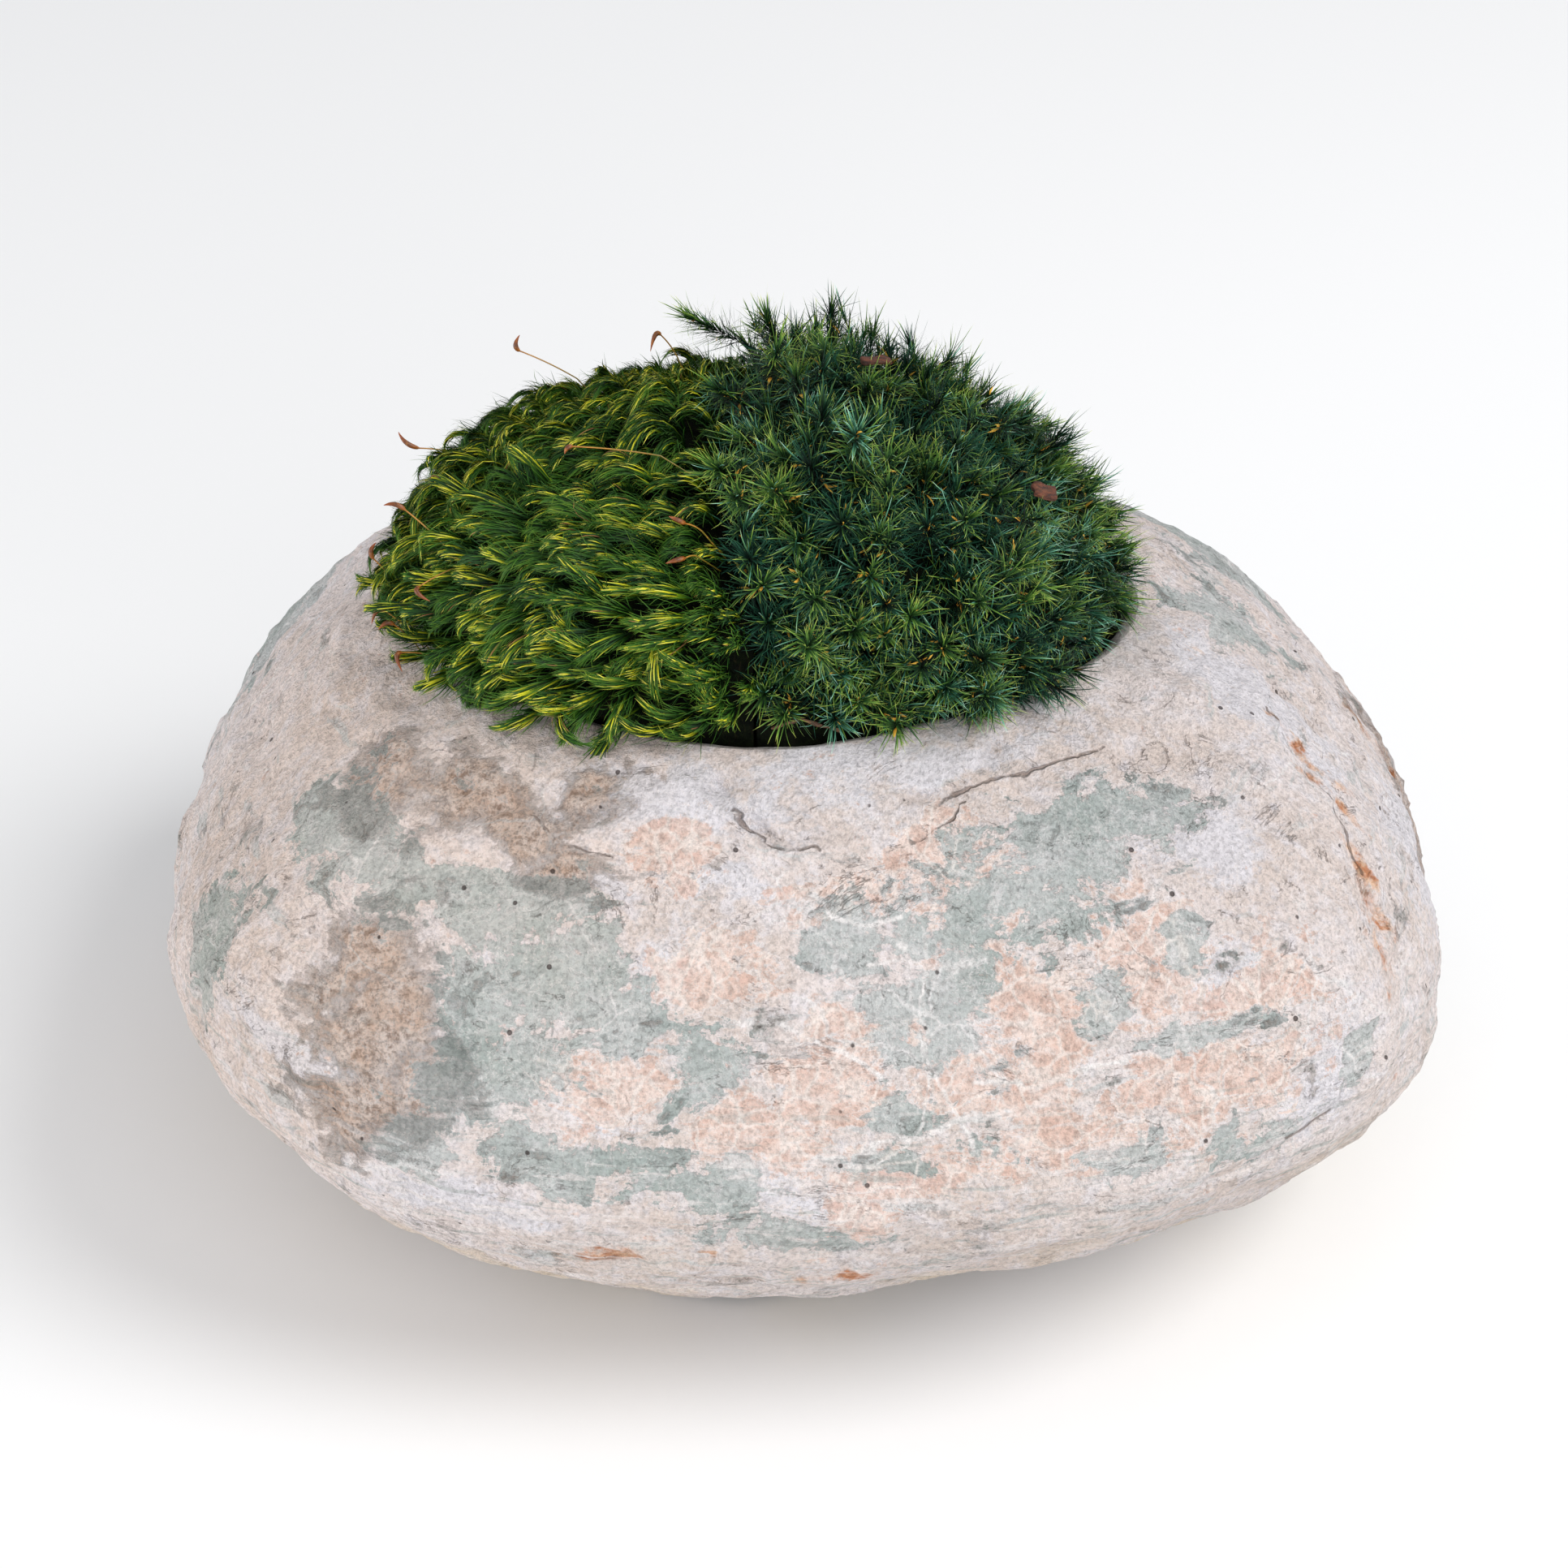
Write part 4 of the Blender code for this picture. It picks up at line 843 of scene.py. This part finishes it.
def dark_leaves(part, finish):
    """Half of the dark moss's leaves: starry shoots of uneven height, and a few long sprigs."""
    draw = np.random.default_rng(6)
    bases, normals = tufts(800, 2, "dark_moss")
    drift = noise_vectors(bases, 0.014, 81, 82, 83)
    lean = 0.40 * smooth_step(bases[:, 0], 0.005, 0.055) - 0.5 * smooth_step(-bases[:, 0], -0.004, 0.008)
    lean = np.column_stack([lean, np.full(len(bases), -0.12), 0 * bases[:, 0]])
    stems = unit(normals + lean + 0.50 * drift + draw.normal(0, 0.36, normals.shape))
    rise = draw.uniform(-1.5, 8.0, len(bases)) + 5.0 * draw.uniform(size=len(bases)) ** 7
    for x, y, length, way in SPRIGS:
        nearest = np.argmin(np.linalg.norm(bases[:, :2] - np.array([x, y]) * MM, axis=1))
        for _ in range(max(1, round(length / 6))):
            bases, normals = np.vstack([bases, bases[nearest]]), np.vstack([normals, normals[nearest]])
            stems, rise = np.vstack([stems, unit(np.array(way))]), np.append(rise, length)
    count = len(bases)
    shoot_tone = 0.14 + 0.16 * noise(bases, 0.012, 91, 2) + draw.normal(0, 0.10, count)
    kind = draw.uniform(size=count) + 0.25 * noise(bases, 0.020, 93, 2)
    # Shoots of painted silvery glints, then shoots of lime green.
    shoot_tone = np.where(kind > 0.88, draw.uniform(0.62, 0.74, count), shoot_tone)
    shoot_tone = np.where(kind < 0.18, draw.uniform(0.24, 0.42, count), shoot_tone)
    draw = np.random.default_rng(60 + part)
    each = 58
    base, stem, height = (spread(values, each) for values in (bases, stems, rise))
    total = len(base)
    level = draw.uniform(0, 1, (total, 1)) ** 0.65
    radial = across(stem, draw)
    root = base + stem * (level * (height[:, None] + 3) - 3) * MM
    angle = np.radians(4 + 62 * level**2.0 + draw.normal(0, 18, (total, 1)))
    length = (7.6 - 2.6 * level) * draw.uniform(0.55, 1.25, (total, 1)) * MM
    twist = 0.60 * across(radial, draw)
    bend = root + 0.55 * length * (radial * np.cos(angle) + stem * (np.sin(angle) + 0.10) + twist * 0.5)
    tips = root + length * (radial * np.cos(angle) + stem * (np.sin(angle) - 0.15) + twist)
    width = draw.uniform(0.20, 0.42, total) * MM
    # Lower leaves darker and upper ones lighter: painted shade low in each shoot.
    tone = spread(shoot_tone, each) + draw.normal(0, 0.07, total) + 0.45 * (level[:, 0] - 0.75)
    tone = np.where(draw.uniform(size=total) < 0.11, draw.uniform(0.30, 0.88, total), tone)
    tone = np.clip(tone, 0.02, 0.9)
    speck = draw.uniform(size=total) < 0.018
    tone[speck] = 0.97
    bend[speck] = (0.6 * root + 0.4 * bend)[speck]
    tips[speck] = (0.6 * root + 0.4 * tips)[speck]
    width[speck] = 0.8 * MM
    shape = blades(root, bend, tips, width, unit(stem + 0.15 * spread(normals, each)), tone)
    piece(f"dark_moss_leaves_{part}", finish, "dark_moss", "dark_moss", *shape)


def litter_material(name, low, high, fibre, size=0.0012):
    """Crumbly peat or soil: dark grains, lighter fibres."""
    g = Graph(name)
    grain = g.noise(size, 6, 0.7)
    fibres = g.noise(0.0022, 3, 0.6, 0.8, g.where((3.5, 1.0, 1.0)))
    crumbs = g.cells(size * 2.2)
    g.colour = g.mix(g.scaled(grain, 0.35, 0.68), low, high)
    g.paint(g.scaled(fibres, 0.58, 0.70, 0, 0.6), fibre)
    g.paint(g.scaled(crumbs, 0.0, 0.5, 0.5, 0), (0.01, 0.008, 0.006))
    height = g.plus(g.times(grain, 0.6), g.times(crumbs, 0.5))
    return g.finish(g.scaled(grain, 0.3, 0.7, 0.8, 0.98), height, 0.0012, Specular_IOR_Level=0.1)


def bed(body):
    """The dense stems and roots under a moss's leaves: half a dome down to the soil, cut at the seam. Its
    near-black colour is painted shade deep in the moss, with brown fibres.
    """
    rows, columns = 30, 120
    turns = np.arange(columns) * 2 * math.pi / columns
    rings = []
    for row in range(rows):
        up = np.sin((row + 0.5) / rows * math.pi / 2)
        out = math.sqrt(1 - up**2)
        sphere = np.column_stack([out * np.cos(turns), out * np.sin(turns), np.full(columns, up)])
        rings.append(mound(sphere, body, INSET[body] + 0.0025)[0])
    rings.reverse()
    for z, wider in ((0.1195, 0.0015), (0.1160, 0.0005), (SOIL_Z, 0.0)):
        rings.append(np.column_stack([ellipse(SOIL_X + wider, SOIL_Y + wider, turns), np.full(columns, z)]))
    for share in (0.7, 0.4, 0.1):
        plan = ellipse(SOIL_X * share, SOIL_Y * share, turns)
        rings.append(np.column_stack([plan, SOIL_Z + SOIL_CROWN * (1 - share**2) + 0 * turns]))
    build = bmesh.new()
    rows_made = [[build.verts.new(point) for point in ring] for ring in rings]
    for upper, lower in zip(rows_made, rows_made[1:]):
        for k in range(columns):
            after = (k + 1) % columns
            build.faces.new((upper[k], lower[k], lower[after], upper[after]))
    build.faces.new(rows_made[0])
    build.faces.new(reversed(rows_made[-1]))
    side = SIDE[body]
    plane = {"plane_co": (SEAM_X + side * SEAM_GAP, 0, 0), "plane_no": (-side, 0, 0), "clear_outer": True}
    cut = bmesh.ops.bisect_plane(build, geom=[*build.verts, *build.edges, *build.faces], **plane)
    rim = [item for item in cut["geom_cut"] if isinstance(item, bmesh.types.BMEdge)]
    bmesh.ops.contextual_create(build, geom=rim)
    bmesh.ops.recalc_face_normals(build, faces=build.faces)
    points, _, triangles = arrays_of(build)
    points[:, 2] += 0.6 * MM * noise(points, 0.006, 15, 3)
    # Near-black stems and roots: painted shade deep between the shoots.
    bed_tints_and_shade = (0.001, 0.002, 0.001), (0.006, 0.010, 0.003), (0.030, 0.021, 0.008)
    finish = litter_material(f"{body}_bed", *bed_tints_and_shade)
    piece(f"{body}_bed", finish, body, body, points, [triangles], replaces=(f"{body}_mat",))


def refined(node, cuts, relief, size, finish, body, slot):
    """A copy of a CAD node, divided finer and roughened by noise of that height and size."""
    build = bmesh.new()
    build.from_mesh(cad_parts[node].data)
    build.transform(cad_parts[node].matrix_world)
    bmesh.ops.remove_doubles(build, verts=build.verts, dist=1e-6)
    bmesh.ops.subdivide_edges(build, edges=build.edges, cuts=cuts, use_grid_fill=True)
    points, normals, triangles = arrays_of(build)
    points += relief * noise(points, size, 17, 3)[:, None] * normals
    piece(f"{node}_look", finish, body, slot, points, [triangles], replaces=(node,))


# --- The remaining pieces' materials ---


def plain_material(name, dark, light, grain_size, roughness, bump_depth, metallic=0.0):
    """A worn, finely grained surface between two shades."""
    g = Graph(name)
    broad = g.noise(0.018, 4, 0.6, 0.2)
    grain = g.noise(grain_size, 4, 0.65)
    scuffs = g.noise(0.006, 6, 0.7, 0.3, g.where((1.0, 4.0, 1.0)))
    g.colour = g.mix(g.scaled(broad, 0.35, 0.65), dark, light)
    worn = tuple(min(1.0, value * 1.6 + 0.02) for value in light)
    g.paint(g.scaled(scuffs, 0.60, 0.74, 0, 0.4), worn)
    g.paint(g.scaled(grain, 0.30, 0.45, 0.3, 0), tuple(value * 0.5 for value in dark))
    rough = g.scaled(scuffs, 0.35, 0.70, roughness - 0.08, roughness + 0.10)
    return g.finish(rough, grain, bump_depth, Metallic=metallic)


def stony_material(name, dark, light, cell_size):
    """Aggregate or pebbles: rounded cells of mixed shades in a dark gap of painted shade."""
    g = Graph(name)
    cell = g.cells(cell_size)
    shade = g.cells(cell_size, output="Color")
    grain = g.noise(0.0012, 5, 0.65)
    g.colour = g.mix(g.split(shade)[0], dark, light)
    g.paint(g.scaled(grain, 0.4, 0.7, 0, 0.3), (0.75, 0.72, 0.68))
    # The dark gap between the cells is painted shade between the stones.
    g.paint(g.scaled(cell, 0.35, 0.62, 0, 0.75), tuple(value * 0.3 for value in dark))
    height = g.minus(g.times(grain, 0.25), cell)
    return g.finish(g.scaled(grain, 0.3, 0.7, 0.75, 0.95), height, cell_size * 0.4)


def bark_material(name, dark, light, worn):
    """Bark with dark lengthwise fissures and worn places."""
    g = Graph(name)
    fibre = g.noise(0.0011, 6, 0.7, 0.3, g.where((0.5, 1.4, 1.4)))
    broad = g.noise(0.004, 4, 0.6)
    g.colour = g.mix(g.scaled(fibre, 0.35, 0.65), dark, light)
    g.paint(g.scaled(broad, 0.55, 0.75, 0, 0.4), worn)
    return g.finish(g.scaled(fibre, 0.3, 0.7, 0.65, 0.9), fibre, 0.0005)


def dress_frame():
    """Materials for the pieces shown as the CAD model has them."""
    greys = {
        "base_plastic_look": ((0.030, 0.030, 0.031), (0.060, 0.060, 0.060), 0.0008, 0.5, 0.0001),
        "liner_plastic_look": ((0.010, 0.010, 0.010), (0.028, 0.028, 0.027), 0.0010, 0.42, 0.0001),
        "rubber_look": ((0.012, 0.012, 0.012), (0.035, 0.034, 0.033), 0.0006, 0.75, 0.0002),
        "steel_look": ((0.48, 0.48, 0.49), (0.66, 0.66, 0.67), 0.0004, 0.28, 0.00003, 1.0),
    }
    plastic, liner, rubber, steel = (plain_material(name, *row) for name, row in greys.items())
    concrete = stony_material("ballast_look", (0.26, 0.25, 0.23), (0.50, 0.48, 0.45), 0.006)
    pebbles = stony_material("gravel_look", (0.22, 0.13, 0.08), (0.52, 0.36, 0.25), 0.007)
    looks = {
        "ballast_core": concrete,
        "drainage_gravel": pebbles,
        "liner_pot": liner,
        "base_plate": plastic,
        "drain_strainer": plastic,
        "drain_plug": rubber,
        "foot": rubber,
        "base_screw": steel,
    }
    for name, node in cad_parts.items():
        for start, look in looks.items():
            if name.startswith(start):
                node.data.materials.clear()
                node.data.materials.append(look)


# --- Fruiting stalks ---

# Each stalk's root on the mound in plan, the way from root to neck, and the way from neck to beak, in mm.
SPOROPHYTES = (
    ((-44, 32), (-11, 0, 6), (0, 1, 3)),
    ((-24, 25), (-3, -1, 5), (-2, -2, -2.5)),
    ((-66, 17), (-8, -2, 2.5), (-4, 1, 3)),
    ((-74, -10), (-7.5, 2.5, 8.5), (0.5, 1, 3)),
    ((-66, -17), (-8, 2, 7.5), (-4, 0, 1)),
    ((-74, -12), (-4.5, 1, 7), (0, -2, -3)),
    ((-72, -17), (-7, 1, 6), (-2.5, -1.5, -2)),
    ((-69, -24), (-6, -2, 2), (0, -2, -3)),
    ((-73, -19), (-4, 0, 4.5), (-3, -1, -0.5)),
    ((-65, -21), (-6, -5, -1), (2, -2, -2)),
    ((-26, -17), (-16, -2, 3), (-1.5, -1, -1)),
    ((-18, -35), (-3, -1.5, 2.5), (-3, 0, 1.5)),
    ((-19, -39), (-2, -2.5, 1), (-3.5, -1, -0.5)),
)


def cad_mat_height(plan):
    """Height of the CAD mat under a plan point, which the stalks' rows are measured from."""
    away = (plan - WELL) / (MOSS_X, MOSS_Y)
    out = np.minimum(1.0, np.linalg.norm(away, axis=1))
    foot_z = top_height(WELL + unit(away) * (MOSS_X, MOSS_Y)) + 0.0024
    return foot_z + (LIP_Z + RISE["broom_moss"] - foot_z) * np.sqrt(1 - out**2) ** 0.8


def tube(path, radii, sides=10):
    """A tapered tube along a path: points, quads, and the share of the way along at each point."""
    tangent = unit(np.gradient(path, axis=0))
    side = unit(np.cross(tangent, (0.31, 0.87, 0.38)))
    other = np.cross(tangent, side)
    turns = np.arange(sides) * 2 * math.pi / sides
    ring = np.cos(turns)[None, :, None] * side[:, None] + np.sin(turns)[None, :, None] * other[:, None]
    points = path[:, None] + ring * np.asarray(radii)[:, None, None]
    along = np.repeat(np.linspace(0, 1, len(path)), sides)
    return points.reshape(-1, 3), grid_faces(len(path), sides), along


def sporophytes():
    """Thin yellow-brown stalks, each with a curved, beaked red-brown capsule."""
    roots = np.array([row[0] for row in SPOROPHYTES]) * MM
    heights = cad_mat_height(roots) + 0.0012
    points, faces, uv, count = [], [], [], 0
    for index, (_, to_neck, to_beak) in enumerate(SPOROPHYTES):
        base = np.append(roots[index], heights[index])
        neck = base + np.array(to_neck) * MM
        beak = neck + np.array(to_beak) * MM
        onward = unit(neck - base)
        under = base - onward * 0.007 - (0, 0, 0.004)
        bow = (base + neck) / 2 + np.array([0.1, 0.2, 0.5]) * MM
        control = neck + onward * 0.6 * np.linalg.norm(beak - neck)
        t = np.linspace(0, 1, 13)[:, None]
        path = np.vstack([under, curve(t, base, bow, neck), curve(t, neck, control, beak)[1:]])
        along = t[1:, 0]
        swell = np.sin(np.pi * along**0.8) ** 0.9 * 0.36 + 0.16 * (1 - along) + 0.05
        swell = np.where(along > 0.86, np.minimum(swell, 0.20 * (1.25 - along) / 0.39 + 0.03), swell)
        radii = np.concatenate([[0.12], np.full(13, 0.14), swell]) * MM
        shape = tube(path, radii)
        points.append(shape[0])
        faces.append(shape[1] + count)
        uv.append(np.column_stack([np.full(len(shape[0]), 0.04 + 0.07 * index), shape[2]]))
        count += len(shape[0])
    g = Graph("sporophyte_look")
    along = g.split(g.uv())[1]
    mottle = g.noise(0.0010, 4, 0.6)
    stops = (0.0, (0.16, 0.13, 0.015)), (0.45, (0.42, 0.19, 0.02)), (0.56, (0.28, 0.085, 0.012))
    g.colour = g.ramp(along, *stops, (0.75, (0.10, 0.028, 0.006)), (1.0, (0.30, 0.07, 0.012)))
    g.paint(g.scaled(mottle, 0.50, 0.7, 0, 0.4), (0.62, 0.24, 0.03))
    finish = g.finish(g.scaled(mottle, 0.3, 0.7, 0.30, 0.5), mottle, 0.0001)
    nodes = [f"sporophyte_{index + 1}" for index in range(len(SPOROPHYTES))]
    shape = np.concatenate(points), [np.concatenate(faces)], np.concatenate(uv)
    piece("sporophytes", finish, "broom_moss", "sporophyte", *shape, replaces=nodes)


def twig(finish):
    """A bent bit of brown stem in the dark gap at the front of the mouth."""
    bends = (-6, -47, 122.4), (-3, -48.5, 124.4), (0, -49, 125.6), (3, -49, 124.4), (7, -48, 122.6)
    places = np.array(bends)
    t = np.linspace(0, len(places) - 1, 25)
    path = np.column_stack([np.interp(t, np.arange(len(places)), places[:, k]) for k in range(3)]) * MM
    path += 0.35 * MM * noise_vectors(path, 0.004, 21, 22, 23)
    radii = (0.32 + 0.10 * np.sin(t * 5.0)) * np.minimum(1, 0.5 + t) * MM
    points, faces, _ = tube(path, radii)
    piece("twig_look", finish, "dark_moss", "bark", points, [faces], replaces=("twig",))


dress_frame()
boulder()
SOIL_TINTS = (0.010, 0.007, 0.005), (0.075, 0.048, 0.030), (0.22, 0.13, 0.06)
soil = litter_material("soil_look", *SOIL_TINTS, 0.0016)
refined("growing_medium", 4, 0.9 * MM, 0.006, soil, "planting_insert", "soil")
for moss in ("broom_moss", "dark_moss"):
    bed(moss)
# Each look of the leaves: the tones between which it comes in, then its colours from root to tip. The
# near-black roots are painted shade; the broom moss's last look is gold with painted highlights, the dark
# moss's last look painted silvery glints.
BROOM_LOOKS = (
    (-0.01, 0, (0.001, 0.004, 0.001), (0.003, 0.016, 0.003), (0.012, 0.052, 0.010), (0.040, 0.11, 0.022)),
    (0.10, 0.40, (0.001, 0.008, 0.001), (0.010, 0.045, 0.004), (0.045, 0.13, 0.012), (0.16, 0.26, 0.03)),
    (0.45, 0.85, (0.004, 0.020, 0.001), (0.09, 0.16, 0.004), (0.60, 0.56, 0.020), (1.0, 0.90, 0.20)),
)
DARK_LOOKS = (
    (-0.01, 0, (0.001, 0.003, 0.002), (0.001, 0.010, 0.006), (0.006, 0.042, 0.024), (0.028, 0.13, 0.080)),
    (0.12, 0.45, (0.002, 0.008, 0.002), (0.018, 0.065, 0.012), (0.13, 0.25, 0.035), (0.70, 0.76, 0.16)),
    (0.55, 0.75, (0.002, 0.010, 0.007), (0.014, 0.070, 0.045), (0.10, 0.30, 0.21), (0.55, 0.88, 0.74)),
)
broom_look = leaf_material("broom_leaves", BROOM_LOOKS, ((0.08, 0.04, 0.02), (0.40, 0.20, 0.07)))
dark_look = leaf_material("dark_leaves", DARK_LOOKS, ((0.45, 0.20, 0.02), (0.90, 0.55, 0.08)))
for half in (1, 2):
    broom_leaves(half, broom_look)
    dark_leaves(half, dark_look)
sporophytes()
bark = bark_material("bark_look", (0.030, 0.010, 0.006), (0.16, 0.050, 0.025), (0.26, 0.12, 0.06))
for node in ("bark_chip_1", "bark_chip_2"):
    refined(node, 3, 0.35 * MM, 0.0015, bark, "dark_moss", "bark")
twig(bark_material("twig_bark", (0.045, 0.020, 0.010), (0.22, 0.115, 0.055), (0.42, 0.26, 0.15)))

# --- Floor, light and camera ---


def studio():
    """A pale seamless floor, soft light from the upper right, and the camera."""
    mesh = bpy.data.meshes.new("floor")
    mesh.from_pydata([(-4, -4, 0), (4, -4, 0), (4, 4, 0), (-4, 4, 0)], [], [(0, 1, 2, 3)])
    g = Graph("floor_paper")
    g.colour = (0.90, 0.90, 0.895)
    mesh.materials.append(g.finish(g.scaled(g.noise(0.4), 0, 1, 0.85, 0.95)))
    floor = bpy.data.objects.new("floor", mesh)
    bpy.context.scene.collection.objects.link(floor)
    for name, place, size, power in (
        ("key", (1.2, -0.6, 1.55), (1.1, 1.1), 23.5),
        ("fill", (0.8, -1.9, 1.0), (1.6, 1.6), 12.5),
        ("side", (-1.7, -0.7, 0.16), (1.4, 0.28), 17.0),
    ):
        light = bpy.data.lights.new(name, "AREA")
        light.shape = "ELLIPSE"
        light.size, light.size_y = size
        light.energy = power
        lamp = bpy.data.objects.new(name, light)
        lamp.location = place
        lamp.rotation_euler = (-Vector(place) + Vector((0, 0, 0.06))).to_track_quat("-Z", "Y").to_euler()
        bpy.context.scene.collection.objects.link(lamp)
    world = bpy.data.worlds.new("studio")
    world.use_nodes = True
    world.node_tree.nodes["Background"].inputs["Color"].default_value = (0.96, 0.97, 1.0, 1.0)
    world.node_tree.nodes["Background"].inputs["Strength"].default_value = 0.64
    bpy.context.scene.world = world
    bpy.context.scene.view_settings.view_transform = "Standard"
    data = bpy.data.cameras.new("camera")
    data.lens = 85.0
    data.sensor_width = 36.0
    camera = bpy.data.objects.new("camera", data)
    target, distance, elevation = Vector((-0.0032, 0.0013, 0.079)), 0.745, math.radians(33.0)
    camera.location = target + distance * Vector((0.0, -math.cos(elevation), math.sin(elevation)))
    camera.rotation_euler = (target - camera.location).to_track_quat("-Z", "Y").to_euler()
    bpy.context.scene.collection.objects.link(camera)
    bpy.context.scene.camera = camera


studio()
